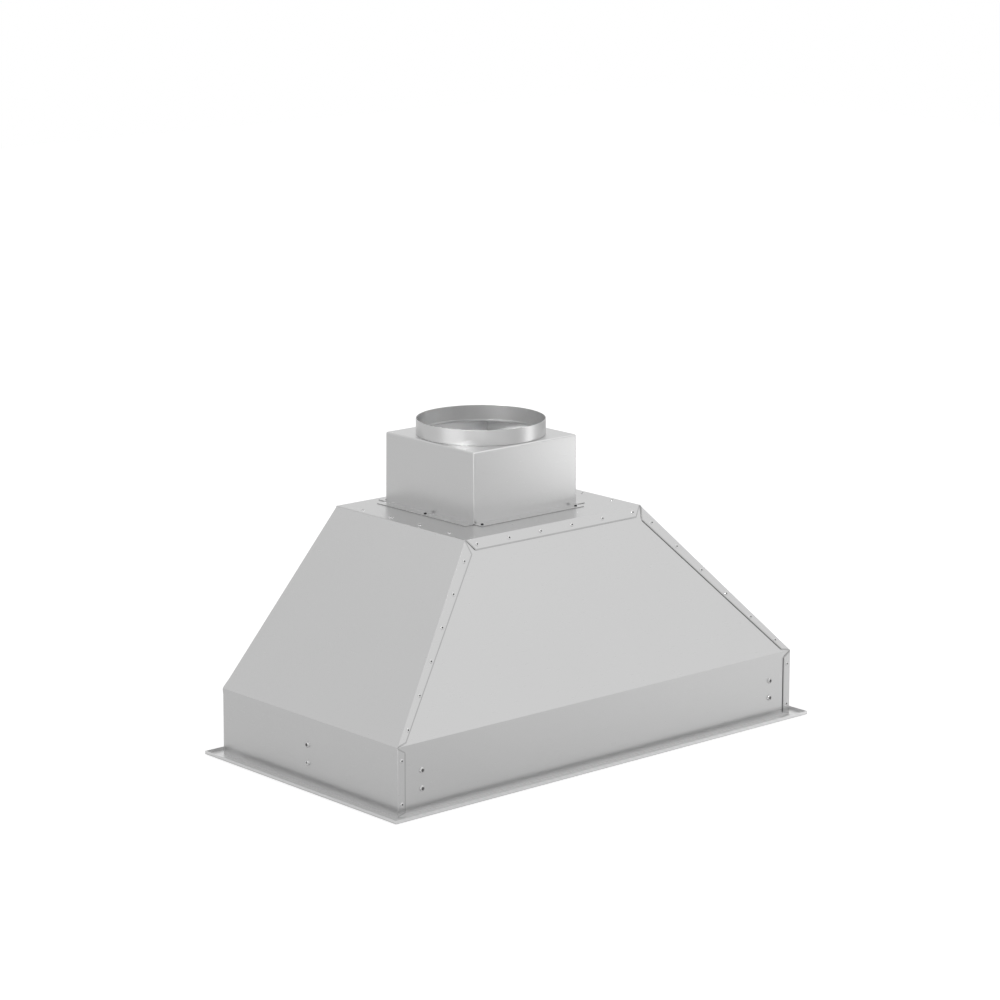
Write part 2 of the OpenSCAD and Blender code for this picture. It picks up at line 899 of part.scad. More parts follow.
module centre_rail() {
    rail_w = mid_rail_w - 2 * centre_rail_gap;
    color("silver") difference() {
        pad([0, (open_front + open_rear) / 2, pan_top], [rail_w, open_rear - open_front, filter_t]);
        pad([0, (open_front + open_rear) / 2, pan_top - 1],
            [rail_w - 2 * sheet, open_rear - open_front + 2, filter_t + 1 - sheet]);
    }
}

module filter_frame() {
    low = [-filter_w / 2, filter_front, filter_z];
    high = [filter_w / 2, filter_rear, filter_z + filter_t];
    s = filter_sheet;
    color("silver") difference() {
        block(low, high);
        block(low + [s, s, s], high - [s, s, s]);
        block([low[0] + filter_rail_w, low[1] + filter_front_w, low[2] - 1],
            [high[0] - filter_rail_w, high[1] - filter_rail_w, high[2] + 1]);
        // The latch's slots in the front wall and the underside
        block([-latch_w / 2 - latch_slot, low[1] - 1, latch_z - latch_slot / 2],
            [latch_w / 2 + latch_slot, low[1] + s + 1, latch_z + latch_t + latch_slot]);
        block([-knob_stem_r - latch_slot, knob_y - knob_stem_r - latch_slot, low[2] - 1],
            [knob_stem_r + latch_slot, knob_y + knob_stem_r + latch_travel + latch_slot,
                low[2] + s + 0.1]);
    }
}

// One baffle, a channel that opens upwards
module baffle(x) {
    y0 = filter_front + filter_front_w - baffle_lap;
    y1 = filter_rear - filter_rail_w + baffle_lap;
    along = [x - baffle_w / 2, x + baffle_w / 2];
    along_y(y0, y1) polygon([
        [along[0], 0],
        [along[1], 0],
        [along[1], baffle_leg],
        [along[1] - baffle_t, baffle_leg],
        [along[1] - baffle_t, baffle_t],
        [along[0] + baffle_t, baffle_t],
        [along[0] + baffle_t, baffle_leg],
        [along[0], baffle_leg]
    ]);
}

module filter_baffles() {
    first = -(baffle_count - 1) / 2 * baffle_pitch;
    color("lightgray") {
        for (i = [0 : baffle_count - 1])
            translate([0, 0, filter_z + filter_sheet]) baffle(first + i * baffle_pitch);
        for (i = [0 : baffle_count - 2])
            translate([0, 0, filter_z + filter_t - filter_sheet]) mirror([0, 0, 1])
                baffle(first + (i + 0.5) * baffle_pitch);
    }
}

module filter_latch() {
    color("dimgray") {
        block([-latch_w / 2, filter_front - latch_reach, latch_z],
            [latch_w / 2, filter_front + latch_back, latch_z + latch_t]);
        translate([0, knob_y, filter_z - knob_drop + knob_h / 2])
            cylinder(h = latch_z - filter_z + knob_drop - knob_h / 2, r = knob_stem_r);
        translate([0, knob_y, filter_z - knob_drop]) cylinder(h = knob_h, r = knob_r);
    }
}

module left_filter_frame() {
    translate([-open_x, 0, 0]) filter_frame();
}

module right_filter_frame() {
    translate([open_x, 0, 0]) filter_frame();
}

module left_filter_baffles() {
    translate([-open_x, 0, 0]) filter_baffles();
}

module right_filter_baffles() {
    translate([open_x, 0, 0]) filter_baffles();
}

module left_filter_latch() {
    translate([-open_x, 0, 0]) filter_latch();
}

module right_filter_latch() {
    translate([open_x, 0, 0]) filter_latch();
}

// Outline of the scroll's air space, grown by out: the spiral, then the outlet neck
function scroll_outline(out) = concat(
    [
        for (i = [1 : scroll_steps])
            let (
                turn = i / scroll_steps,
                a = cut_angle + (360 - cut_angle) * turn,
                r = scroll_start + (scroll_r - scroll_start) * turn + out
            )
            [wheel_y + r * cos(a), wheel_z + r * sin(a)]
    ],
    [
        [outlet_rear + out, under_top_z],
        [outlet_front - out, under_top_z],
        [outlet_front - out, wheel_z + (scroll_start + out) * sin(cut_angle)]
    ]
);

module along_wheel(x) {
    translate([x, wheel_y, wheel_z]) rotate([0, 90, 0]) children();
}

module blower_side() {
    color("darkgray") difference() {
        along_x(side_x, side_x + blower_t) polygon(scroll_outline(blower_t));
        along_wheel(side_x - 1) cylinder(h = blower_t + 2, r = inlet_r + blower_t);
    }
}

module blower_right_side() {
    blower_side();
}

module blower_left_side() {
    mirror([1, 0, 0]) blower_side();
}

module blower_scroll() {
    color("silver") difference() {
        along_x(-side_x, side_x) polygon(scroll_outline(blower_t));
        along_x(-side_x - 1, side_x + 1) polygon(scroll_outline(0));
        // The mouth, through the top of the neck
        block([-side_x - 1, outlet_front, under_top_z - 2 * blower_t],
            [side_x + 1, outlet_rear, far]);
    }
}

// Places of the studs that hang the blower
stud_x = side_x + blower_t + stud_inset;
stud_y = outlet_d / 2 + blower_t + stud_inset;

module at_studs() {
    for (sx = [-1, 1], sy = [-1, 1]) translate([sx * stud_x, box_y + sy * stud_y, 0]) children();
}

module outlet_flange() {
    color("darkgray") difference() {
        pad([0, box_y, under_top_z - flange_t],
            [2 * (side_x + blower_t + flange_lap), outlet_d + 2 * (blower_t + flange_lap), flange_t]);
        pad([0, box_y, under_top_z - flange_t - 1],
            [2 * (side_x + blower_t), outlet_d + 2 * blower_t, flange_t + 2]);
        at_studs() translate([0, 0, under_top_z - 2 * flange_t])
            cylinder(h = 3 * flange_t, r = stud_r + stud_clear);
    }
}

module blower_studs() {
    color("gray") at_studs() translate([0, 0, under_top_z - stud_len])
        cylinder(h = stud_len, r = stud_r);
}

module blower_nuts() {
    color("gray") at_studs() translate([0, 0, under_top_z - flange_t - stud_nut_h]) difference() {
        cylinder(h = stud_nut_h, r = stud_nut_r, $fn = 6);
        translate([0, 0, -1]) cylinder(h = stud_nut_h + 2, r = stud_r);
    }
}

module inlet_rings() {
    color("silver") both_sides() along_wheel(side_x + blower_t) rotate_extrude() polygon([
        [inlet_r, -blower_t - inlet_throat],
        [inlet_r + blower_t, -blower_t - inlet_throat],
        [inlet_r + blower_t, 0],
        [inlet_r + inlet_lip_w, 0],
        [inlet_r + inlet_lip_w, blower_t],
        [inlet_r + inlet_edge, blower_t],
        [inlet_r, blower_t - inlet_edge]
    ]);
}

module blower_wheel() {
    half = wheel_len / 2;
    color("gray") difference() {
        union() {
            along_wheel(-half) for (i = [0 : blades - 1])
                rotate([0, 0, i * 360 / blades]) translate([wheel_r - blade_inset, 0, 0])
                    rotate([0, 0, 180 - blade_lean]) translate([0, -blade_t / 2, 0])
                        cube([blade_d, blade_t, wheel_len]);
            along_wheel(-disc_t / 2) cylinder(h = disc_t, r = wheel_r - blade_inset / 2);
            both_sides() along_wheel(half - ring_t) difference() {
                cylinder(h = ring_t, r = wheel_r);
                translate([0, 0, -1]) cylinder(h = ring_t + 2, r = wheel_r - blade_d + 1);
            }
            along_wheel(-hub_len / 2) cylinder(h = hub_len, r = hub_r);
        }
        along_wheel(-hub_len) cylinder(h = 2 * hub_len, r = shaft_r);
    }
}

module motor_shaft() {
    start = motor_back_x + motor_wall + shaft_end_gap;
    color("silver") along_wheel(start) cylinder(h = hub_len / 2 - start, r = shaft_r);
}

module at_bearings() {
    for (x = [motor_back_x + motor_wall, motor_front_x - motor_wall - bearing_t])
        along_wheel(x) children();
}

module motor_housing() {
    color("dimgray") difference() {
        along_wheel(motor_back_x) cylinder(h = motor_len, r = motor_r);
        difference() {
            along_wheel(motor_back_x + motor_wall)
                cylinder(h = motor_len - 2 * motor_wall, r = motor_r - motor_wall);
            // The seats that hold the bearings
            at_bearings() cylinder(h = bearing_t, r = bearing_r + bearing_seat_w);
        }
        at_bearings() cylinder(h = bearing_t, r = bearing_r);
        along_wheel(motor_front_x - motor_wall - 1)
            cylinder(h = motor_wall + 2, r = shaft_r + shaft_hole_gap);
    }
}

module motor_bearings() {
    color("silver") at_bearings() difference() {
        cylinder(h = bearing_t, r = bearing_r);
        translate([0, 0, -1]) cylinder(h = bearing_t + 2, r = shaft_r + shaft_clear);
    }
}

module motor_stator() {
    color("peru") along_wheel(motor_back_x + (motor_len - rotor_len) / 2) difference() {
        cylinder(h = rotor_len, r = motor_r - motor_wall);
        translate([0, 0, -1]) cylinder(h = rotor_len + 2, r = rotor_r + rotor_gap);
    }
}

module motor_rotor() {
    color("gray") along_wheel(motor_back_x + (motor_len - rotor_len) / 2) difference() {
        cylinder(h = rotor_len, r = rotor_r);
        translate([0, 0, -1]) cylinder(h = rotor_len + 2, r = shaft_r);
    }
}

module motor_bracket() {
    ring_x = motor_back_x + motor_len / 2 - bracket_ring_w / 2;
    leg_end = -(side_x + blower_t);
    color("darkgray") difference() {
        union() {
            along_wheel(ring_x) cylinder(h = bracket_ring_w, r = motor_r + bracket_ring_t);
            for (a = bracket_angles)
                translate([0, wheel_y, wheel_z]) rotate([a, 0, 0]) {
                    block([ring_x, motor_r, -bracket_leg_w / 2],
                        [ring_x + bracket_spoke_t, bracket_leg_r + bracket_leg_t, bracket_leg_w / 2]);
                    block([ring_x, bracket_leg_r, -bracket_leg_w / 2],
                        [leg_end, bracket_leg_r + bracket_leg_t, bracket_leg_w / 2]);
                }
        }
        along_wheel(ring_x - 1) cylinder(h = bracket_ring_w + 2, r = motor_r);
    }
}

module capacitor() {
    color("whitesmoke") translate([cap_x - cap_len / 2, back_y - cap_r - cap_gap, cap_z])
        rotate([0, 90, 0]) cylinder(h = cap_len, r = cap_r);
}

module capacitor_clip() {
    color("silver") difference() {
        union() {
            translate([cap_x - clip_w / 2, back_y - cap_r - cap_gap, cap_z]) rotate([0, 90, 0])
                cylinder(h = clip_w, r = cap_r + clip_t);
            block([cap_x - clip_w / 2, back_y - cap_gap, cap_z - cap_r - clip_foot],
                [cap_x + clip_w / 2, back_y, cap_z + cap_r]);
        }
        translate([cap_x - clip_w, back_y - cap_r - cap_gap, cap_z]) rotate([0, 90, 0])
            cylinder(h = 2 * clip_w, r = cap_r);
        block([cap_x - clip_w, back_y, 0], [cap_x + clip_w, back_y + cap_r, far]);
    }
}

module junction_box() {
    low = [jbox_x - jbox_w / 2, back_y - jbox_d, jbox_z - jbox_h / 2];
    high = [jbox_x + jbox_w / 2, back_y, jbox_z + jbox_h / 2];
    color("lightgray") difference() {
        block(low, high);
        block(low + [jbox_t, -1, jbox_t], high - [jbox_t, jbox_t, jbox_t]);
        translate([jbox_x, back_y, bush_z]) rotate([-90, 0, 0])
            cylinder(h = 4 * jbox_t, r = bush_r + bush_wall, center = true);
    }
}

module junction_box_cover() {
    y = back_y - jbox_d;
    color("silver") block([jbox_x - jbox_w / 2, y - jbox_t, jbox_z - jbox_h / 2],
        [jbox_x + jbox_w / 2, y, jbox_z + jbox_h / 2]);
}

module cable_bushing() {
    color("black") translate([jbox_x, 0, bush_z]) rotate([-90, 0, 0]) difference() {
        union() {
            translate([0, 0, back_y - jbox_t - bush_flange])
                cylinder(h = sheet + jbox_t + 2 * bush_flange, r = bush_r + bush_wall);
            translate([0, 0, half_d]) cylinder(h = bush_flange, r = bush_r + bush_wall + bush_lip);
            translate([0, 0, back_y - jbox_t - bush_flange])
                cylinder(h = bush_flange, r = bush_r + bush_wall + bush_lip / 2);
        }
        translate([0, 0, back_y - jbox_d]) cylinder(h = 2 * jbox_d, r = bush_r);
    }
}

module at_lamps() {
    both_sides() translate([lamp_x, strip_y, 0]) children();
}

module lamp_cans() {
    color("lightgray") at_lamps() translate([0, 0, pan_top]) difference() {
        cylinder(h = lamp_can_h, r = lamp_can_r);
        translate([0, 0, -1]) cylinder(h = lamp_can_h + 1 - lamp_wall, r = lamp_can_r - lamp_wall);
    }
}

module lamp_bezels() {
    color("silver") at_lamps() difference() {
        union() {
            translate([0, 0, pan_z - lamp_bezel_t]) cylinder(h = lamp_bezel_t, r = lamp_bezel_r);
            translate([0, 0, pan_z]) cylinder(h = lamp_neck_h, r = lens_r + lamp_lip - lamp_clear);
        }
        translate([0, 0, pan_z]) cylinder(h = 2 * lamp_neck_h, r = lens_r);
        translate([0, 0, pan_z - 2 * lamp_bezel_t])
            cylinder(h = 2 * lamp_neck_h, r = lens_r - lamp_lip);
    }
}

module lamp_lenses() {
    color("white") at_lamps() translate([0, 0, pan_z]) cylinder(h = lens_t, r = lens_r - lens_clear);
}

module led_boards() {
    color("seagreen") at_lamps()
        translate([0, 0, pan_top + lamp_can_h - lamp_wall - led_t])
            cylinder(h = led_t, r = lamp_can_r - 2 * lamp_wall);
}

module led_driver() {
    color("white") block([driver_x - driver_w / 2, back_y - driver_d, driver_z - driver_h / 2],
        [driver_x + driver_w / 2, back_y, driver_z + driver_h / 2]);
}

module control_housing() {
    t = control_t;
    color("dimgray") difference() {
        pad([0, strip_y, pan_top], [control_w, control_d, control_h]);
        pad([0, strip_y, pan_top - 1], [control_w - 2 * t, control_d - 2 * t, control_h + 1 - t]);
    }
}

function button_x(i) = (i - 1.5) * button_pitch;

module control_board() {
    color("seagreen") {
        pad([0, strip_y, board_z], [
            control_w - 2 * (control_t + board_clear),
            control_d - 2 * (control_t + board_clear),
            board_t
        ]);
        for (i = [0 : 3])
            pad([button_x(i), strip_y, board_z - switch_h], [switch_w, switch_w, switch_h]);
    }
}

module control_bezel() {
    color("black") difference() {
        pad([0, strip_y, pan_z - bezel_t], [bezel_w, bezel_d, bezel_t]);
        for (i = [0 : 3])
            translate([button_x(i), strip_y, pan_z - bezel_t - 1])
                cylinder(h = bezel_t + 2, r = button_r + bezel_clear);
    }
}

module button(i) {
    color("silver") translate([button_x(i), strip_y, 0]) {
        translate([0, 0, pan_z - button_drop]) cylinder(h = button_drop, r = button_r);
        translate([0, 0, pan_z])
            cylinder(h = button_flange_h, r = button_r + button_flange_w);
        translate([0, 0, pan_z]) cylinder(h = button_top - pan_z, r = stem_r);
    }
}

module fan_power_button() {
    button(0);
}

module fan_slower_button() {
    button(1);
}

module fan_faster_button() {
    button(2);
}

module light_button() {
    button(3);
}

function unit(v) = v / norm(v);

// A cable through points, with a square turn of the same bend radius at each inner point
module cable(points, r, bend = 0) {
    last = len(points) - 1;
    for (i = [0 : last - 1]) {
        along = unit(points[i + 1] - points[i]);
        start = points[i] + (i == 0 ? 0 : bend) * along;
        end = points[i + 1] - (i == last - 1 ? 0 : bend) * along;
        translate(start) rotate([0, acos(along[2]), atan2(along[1], along[0])])
            cylinder(h = norm(end - start), r = r, $fn = 24);
    }
    if (last > 1) for (i = [1 : last - 1]) {
        before = unit(points[i] - points[i - 1]);
        after = unit(points[i + 1] - points[i]);
        up = cross(before, after);
        centre = points[i] + bend * (after - before);
        multmatrix([
            [-after[0], before[0], up[0], centre[0]],
            [-after[1], before[1], up[1], centre[1]],
            [-after[2], before[2], up[2], centre[2]]
        ])
            rotate_extrude(angle = 90) translate([bend, 0]) circle(r = r, $fn = 24);
    }
}

module motor_cable() {
    exit_z = wheel_z - motor_cable_drop;
    entry_z = jbox_z - jbox_h / 2 + motor_cable_rise;
    x = motor_back_x - cable_bend;
    y = back_y - cable_r - cable_gap;
    color("black") cable([
        [motor_back_x, wheel_y, exit_z],
        [x, wheel_y, exit_z],
        [x, y, exit_z],
        [x, y, entry_z],
        [jbox_x - jbox_w / 2, y, entry_z]
    ], cable_r, cable_bend);
}

// Runs on the pan between the lamp and the filter, round the end and up to the junction box
module control_cable() {
    exit_x = control_w / 2 - cable_bend;
    lane_y = (strip_y + lamp_can_r + filter_front - latch_reach) / 2;
    side_x = pan_half_w - pan_side_w / 2;
    rear_y = filter_rear + control_cable_gap;
    entry_x = jbox_x + control_cable_inset;
    z = pan_top + sheet + cable_r + cable_gap;
    color("black") cable([
        [exit_x, strip_y + control_d / 2, z],
        [exit_x, lane_y, z],
        [side_x, lane_y, z],
        [side_x, rear_y, z],
        [entry_x, rear_y, z],
        [entry_x, rear_y, jbox_z - jbox_h / 2]
    ], cable_r, cable_bend);
}

module lamp_leads() {
    z = pan_top + lead_r + cable_gap;
    lead_end = lamp_x - lamp_can_r - lead_gap;
    color("black") both_sides() cable([[control_w / 2, strip_y, z], [lead_end, strip_y, z]], lead_r);
}

left_end_panel();
right_end_panel();
front_panel();
back_panel();
top_plate();
shell_rivets();
transition_box();
duct_collar();
damper_frame();
damper_rod();
front_damper_flap();
rear_damper_flap();
bottom_pan();
liner_screws();
liner_nuts();
rear_filter_rail();
centre_rail();
left_filter_frame();
left_filter_baffles();
left_filter_latch();
right_filter_frame();
right_filter_baffles();
right_filter_latch();
blower_left_side();
blower_right_side();
blower_scroll();
outlet_flange();
blower_studs();
blower_nuts();
inlet_rings();
blower_wheel();
motor_shaft();
motor_housing();
motor_stator();
motor_rotor();
motor_bearings();
motor_bracket();
capacitor();
capacitor_clip();
junction_box();
junction_box_cover();
cable_bushing();
lamp_cans();
lamp_bezels();
lamp_lenses();
led_boards();
led_driver();
control_housing();
control_board();
control_bezel();
fan_power_button();
fan_slower_button();
fan_faster_button();
light_button();
motor_cable();
control_cable();
lamp_leads();
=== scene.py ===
import math

import bmesh
import bpy
from mathutils import Matrix, Vector


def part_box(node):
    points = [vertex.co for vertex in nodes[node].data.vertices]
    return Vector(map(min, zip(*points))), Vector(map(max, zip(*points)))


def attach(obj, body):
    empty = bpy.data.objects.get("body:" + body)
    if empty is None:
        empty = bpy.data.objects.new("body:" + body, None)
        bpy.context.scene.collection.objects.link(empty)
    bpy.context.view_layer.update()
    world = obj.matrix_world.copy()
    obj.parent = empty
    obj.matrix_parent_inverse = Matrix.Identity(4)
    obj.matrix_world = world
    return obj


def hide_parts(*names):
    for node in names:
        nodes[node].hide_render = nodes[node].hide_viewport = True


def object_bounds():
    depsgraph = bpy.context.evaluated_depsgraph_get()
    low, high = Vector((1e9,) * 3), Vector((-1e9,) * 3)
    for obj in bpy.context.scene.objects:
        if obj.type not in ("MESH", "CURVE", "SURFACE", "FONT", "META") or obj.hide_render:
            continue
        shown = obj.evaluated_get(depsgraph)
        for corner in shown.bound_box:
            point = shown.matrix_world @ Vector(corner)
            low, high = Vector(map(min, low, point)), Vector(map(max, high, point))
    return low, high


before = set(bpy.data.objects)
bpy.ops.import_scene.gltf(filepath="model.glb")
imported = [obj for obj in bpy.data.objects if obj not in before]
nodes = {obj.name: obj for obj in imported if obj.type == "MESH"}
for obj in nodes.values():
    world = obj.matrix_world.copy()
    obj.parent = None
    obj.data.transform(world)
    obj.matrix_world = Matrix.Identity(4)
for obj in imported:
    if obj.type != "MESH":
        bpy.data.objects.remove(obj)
cad_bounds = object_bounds()

# Camera
# A long lens from the front left and a little above, held level, so that the uprights stay
# almost parallel.
camera_place = Vector((-3.4191, -3.8643, 1.5474))
camera_azimuth = math.radians(-41.29)
camera_elevation = math.radians(12.77)
camera_lens_mm = 122.7
look = Vector((
    -math.sin(camera_azimuth) * math.cos(camera_elevation),
    math.cos(camera_azimuth) * math.cos(camera_elevation),
    -math.sin(camera_elevation),
))
camera_data = bpy.data.cameras.new("camera")
camera_data.sensor_fit = "HORIZONTAL"
camera_data.sensor_width = 36
camera_data.lens = camera_lens_mm
camera = bpy.data.objects.new("camera", camera_data)
camera.location = camera_place
camera.rotation_euler = look.to_track_quat("-Z", "Y").to_euler()
bpy.context.collection.objects.link(camera)
bpy.context.scene.camera = camera
bpy.context.scene.view_settings.view_transform = "Standard"

# Studio
# A white floor and surroundings, a large soft key from the front right, a soft box at the left, a
# narrow lamp on the collar and a low panel at the right. Painted pools of light and shade on the
# floor, seen only in reflections, make metal see the floor lighter before the hood and darker far
# right, and the floor is clear from below.
floor_size = 14.0
floor_grey = 0.45
floor_lift = 0.65
floor_shine = 0.32
# Painted light and painted shade: pools added to the floor's shine for glossy rays only, lighter
# where the height is positive, darker where it is negative.
painted_floor_pools = (
    ((0.75, -0.6, 0), 1.0, 0.23),
    ((-0.8, -0.65, 0), 0.5, 1.1),
    ((-1.35, -1.4, 0), 0.55, 0.9),
    ((0.9, -1.9, 0), 1.1, -0.45),
    ((2.1, 0.4, 0), 1.0, -0.5),
)
world_mean = 0.8755
world_lean = (0.061, -0.085, 0.1245)


def new_material(name):
    """An empty node material and its shader, ready for sockets to be set or linked."""
    material = bpy.data.materials.new(name)
    material.use_nodes = True
    return material, material.node_tree.nodes["Principled BSDF"]


def wire(material, source, target):
    material.node_tree.links.new(source, target)


def math_node(tree, operation, first, second):
    node = tree.nodes.new("ShaderNodeMath")
    node.operation = operation
    for socket, value in zip(node.inputs, (first, second)):
        if hasattr(value, "is_linked"):
            tree.links.new(value, socket)
        else:
            socket.default_value = value
    return node.outputs[0]


def floor_material():
    material, shader = new_material("floor_white")
    tree = material.node_tree
    shader.inputs["Base Color"].default_value = (floor_grey, floor_grey, floor_grey, 1)
    shader.inputs["Roughness"].default_value = 0.9
    shader.inputs["Specular IOR Level"].default_value = 0.0
    shader.inputs["Emission Color"].default_value = (1, 1, 1, 1)
    rays = tree.nodes.new("ShaderNodeLightPath").outputs
    shown = math_node(tree, "MAXIMUM", rays["Is Camera Ray"], rays["Is Transmission Ray"])
    direct = math_node(tree, "MULTIPLY", shown, floor_lift)
    place = tree.nodes.new("ShaderNodeTexCoord").outputs["Object"]
    shine = floor_shine
    # Adds the painted pools of light and shade to what metal sees of the floor.
    for centre, reach, height in painted_floor_pools:
        away = tree.nodes.new("ShaderNodeVectorMath")
        away.operation = "DISTANCE"
        wire(material, place, away.inputs[0])
        away.inputs[1].default_value = centre
        slope = math_node(tree, "MULTIPLY", away.outputs["Value"], -height / reach)
        pool = math_node(tree, "ADD", slope, height)
        pool = math_node(tree, "MAXIMUM" if height > 0 else "MINIMUM", pool, 0.0)
        shine = math_node(tree, "ADD", shine, pool)
    shine = math_node(tree, "MAXIMUM", shine, 0.0)
    mirrored = math_node(tree, "MULTIPLY", rays["Is Glossy Ray"], shine)
    wire(material, math_node(tree, "ADD", direct, mirrored), shader.inputs["Emission Strength"])
    clear = tree.nodes.new("ShaderNodeBsdfTransparent")
    mix = tree.nodes.new("ShaderNodeMixShader")
    below = tree.nodes.new("ShaderNodeNewGeometry").outputs["Backfacing"]
    wire(material, below, mix.inputs[0])
    wire(material, shader.outputs[0], mix.inputs[1])
    wire(material, clear.outputs[0], mix.inputs[2])
    wire(material, mix.outputs[0], tree.nodes["Material Output"].inputs["Surface"])
    return material


floor_mesh = bpy.data.meshes.new("floor")
half = floor_size / 2
floor_mesh.from_pydata([(-half, -half, 0), (half, -half, 0), (half, half, 0), (-half, half, 0)], [],
                       [(0, 1, 2, 3)])
floor = bpy.data.objects.new("floor", floor_mesh)
floor_mesh.materials.append(floor_material())
floor.location.z = -0.0005
bpy.context.collection.objects.link(floor)

world = bpy.data.worlds.new("studio")
bpy.context.scene.world = world
world.use_nodes = True
world_tree = world.node_tree
background = world_tree.nodes["Background"]
background.inputs["Color"].default_value = (1, 1, 1, 1)
towards = world_tree.nodes.new("ShaderNodeTexCoord").outputs["Generated"]
lean = world_tree.nodes.new("ShaderNodeVectorMath")
lean.operation = "DOT_PRODUCT"
world_tree.links.new(towards, lean.inputs[0])
lean.inputs[1].default_value = world_lean
around = math_node(world_tree, "ADD", lean.outputs["Value"], world_mean)
rays = world_tree.nodes.new("ShaderNodeLightPath").outputs
shown = math_node(world_tree, "MAXIMUM", rays["Is Camera Ray"], rays["Is Transmission Ray"])
world_tree.links.new(math_node(world_tree, "MAXIMUM", around, shown), background.inputs["Strength"])


def soft_lamp(name, place, width, height, power, aim=(0, 0, 0.25), spread=180):
    """A flat area lamp that faces the hood or another point."""
    data = bpy.data.lights.new(name, "AREA")
    data.shape = "RECTANGLE"
    data.size = width
    data.size_y = height
    data.energy = power
    data.spread = math.radians(spread)
    lamp = bpy.data.objects.new(name, data)
    lamp.location = place
    lamp.visible_camera = False
    lamp.rotation_euler = (Vector(aim) - Vector(place)).to_track_quat("-Z", "Y").to_euler()
    bpy.context.collection.objects.link(lamp)


soft_lamp("key", (1.6, -0.9, 3.4), 3.0, 3.0, 8)
soft_lamp("left_soft_box", (-1.7, 0.03, 0.4), 1.24, 0.75, 1.8)
soft_lamp("collar_lamp", (-1.93, -0.51, 1.8), 0.3, 0.3, 0.6, aim=(0, 0.074, 0.485), spread=20)
soft_lamp("right_low_panel", (1.02, -0.75, 0.2), 0.5, 0.5, 1.7, aim=(1.02, -0.75, 9))

# End panels
# Each is one sheet of satin stainless, cut and bent: skirt, slope, the strips folded over the
# front and the back, the flange under the top and the ledge. Rivets hold them to the panels.
sheet_colour = (0.6, 0.6, 0.6)
# Painted shade: the sheared edges are painted near black for the shadow gap along the strips.
edge_shade_colour = (0.09, 0.09, 0.09)
# Painted shade: a darker band along each strip's edge for the shade line where it laps a panel.
margin_shade_colour = (0.45, 0.45, 0.45)
# Painted light: the ledge is the same sheet as the skirt but is coloured lighter.
ledge_lit_colour = (0.78, 0.78, 0.78)
level_grain = (1, 1, 60)
end_grain = (40, 1, 1)
steel_spread = 0.012
gloss_spread = 0.015
brushed_size, slow_size = 40, 7
brushed_relief, brushed_depth = 0.015, 0.0002
sheet_t = 0.001
fold_r = 0.001
lap_fold_r = 0.0018
fold_steps = 4
cut_edge = 0.00025
margin_w = 0.0022
margin_drop = 0.0005
marked_from = 0.008
marked_to = 0.357
bend_r = 0.0025
ledge_top = 0.006
ledge_w = 0.021
cut_face = 1.4 * sheet_t
wide_face = 2.5 * sheet_t
rim_length = 1.2 * sheet_t
fold_length = 5 * sheet_t
margin_length = 8 * sheet_t
bend_length = 0.1
same_point = 1e-6
same_plane = 0.1 * sheet_t
same_way = 0.9999
same_face = math.radians(0.5)
fold_angle = math.radians(12)
flat_angle = math.radians(20)
edge_angle = math.radians(28)
cut_angle = 0.55
bend_angle = math.radians(50)
round_angle = math.radians(55)
sharp_angle = math.radians(60)
cut_shadow_slot, margin_shade_slot, ledge_lit_slot = 1, 2, 3


def object_place(material):
    """Coordinates that stay fixed to a piece."""
    return material.node_tree.nodes.new("ShaderNodeTexCoord").outputs["Object"]


def clouds(material, place, scale, detail=2):
    """Soft uneven noise of a scale."""
    noise = material.node_tree.nodes.new("ShaderNodeTexNoise")
    noise.inputs["Scale"].default_value = scale
    noise.inputs["Detail"].default_value = detail
    wire(material, place, noise.inputs["Vector"])
    return noise.outputs


def tones(colour, spread):
    """A colour made a little darker and a little lighter."""
    return [c * (1 - spread) for c in colour], [min(1, c * (1 + spread)) for c in colour]


def give_tone(material, shader, share, dark, light):
    """Colours a finish between two tones."""
    tone = material.node_tree.nodes.new("ShaderNodeMix")
    tone.data_type = "RGBA"
    tone.inputs["A"].default_value = (*dark, 1)
    tone.inputs["B"].default_value = (*light, 1)
    wire(material, share, tone.inputs["Factor"])
    wire(material, tone.outputs["Result"], shader.inputs["Base Color"])


def give_gloss(material, shader, share, smooth, rough):
    """Varies a finish's roughness between two values."""
    gloss = material.node_tree.nodes.new("ShaderNodeMapRange")
    gloss.inputs["To Min"].default_value = smooth
    gloss.inputs["To Max"].default_value = rough
    wire(material, share, gloss.inputs["Value"])
    wire(material, gloss.outputs[0], shader.inputs["Roughness"])


def give_bumps(material, shader, height, strength, depth):
    """Raises a finish's grain."""
    bump = material.node_tree.nodes.new("ShaderNodeBump")
    bump.inputs["Strength"].default_value = strength
    bump.inputs["Distance"].default_value = depth
    wire(material, height, bump.inputs["Height"])
    wire(material, bump.outputs[0], shader.inputs["Normal"])


def satin_steel(name, colour, roughness, grain=level_grain, spread=steel_spread, metallic=1.0):
    """Stainless sheet: fine grain along one axis, with slow changes of tone and gloss."""
    material, shader = new_material(name)
    shader.inputs["Metallic"].default_value = metallic
    place = object_place(material)
    stretch = material.node_tree.nodes.new("ShaderNodeMapping")
    stretch.inputs["Scale"].default_value = grain
    wire(material, place, stretch.inputs["Vector"])
    brushed = clouds(material, stretch.outputs[0], brushed_size, detail=6)["Fac"]
    slow = clouds(material, place, slow_size, detail=3)["Fac"]
    give_tone(material, shader, slow, *tones(colour, spread))
    give_gloss(material, shader, brushed, roughness - gloss_spread, roughness + gloss_spread)
    give_bumps(material, shader, brushed, brushed_relief, brushed_depth)
    return material


def face_width(face):
    """The width of a long face, from its area and the length of its outline."""
    return 2 * face.calc_area() / max(face.calc_perimeter(), 1e-9)


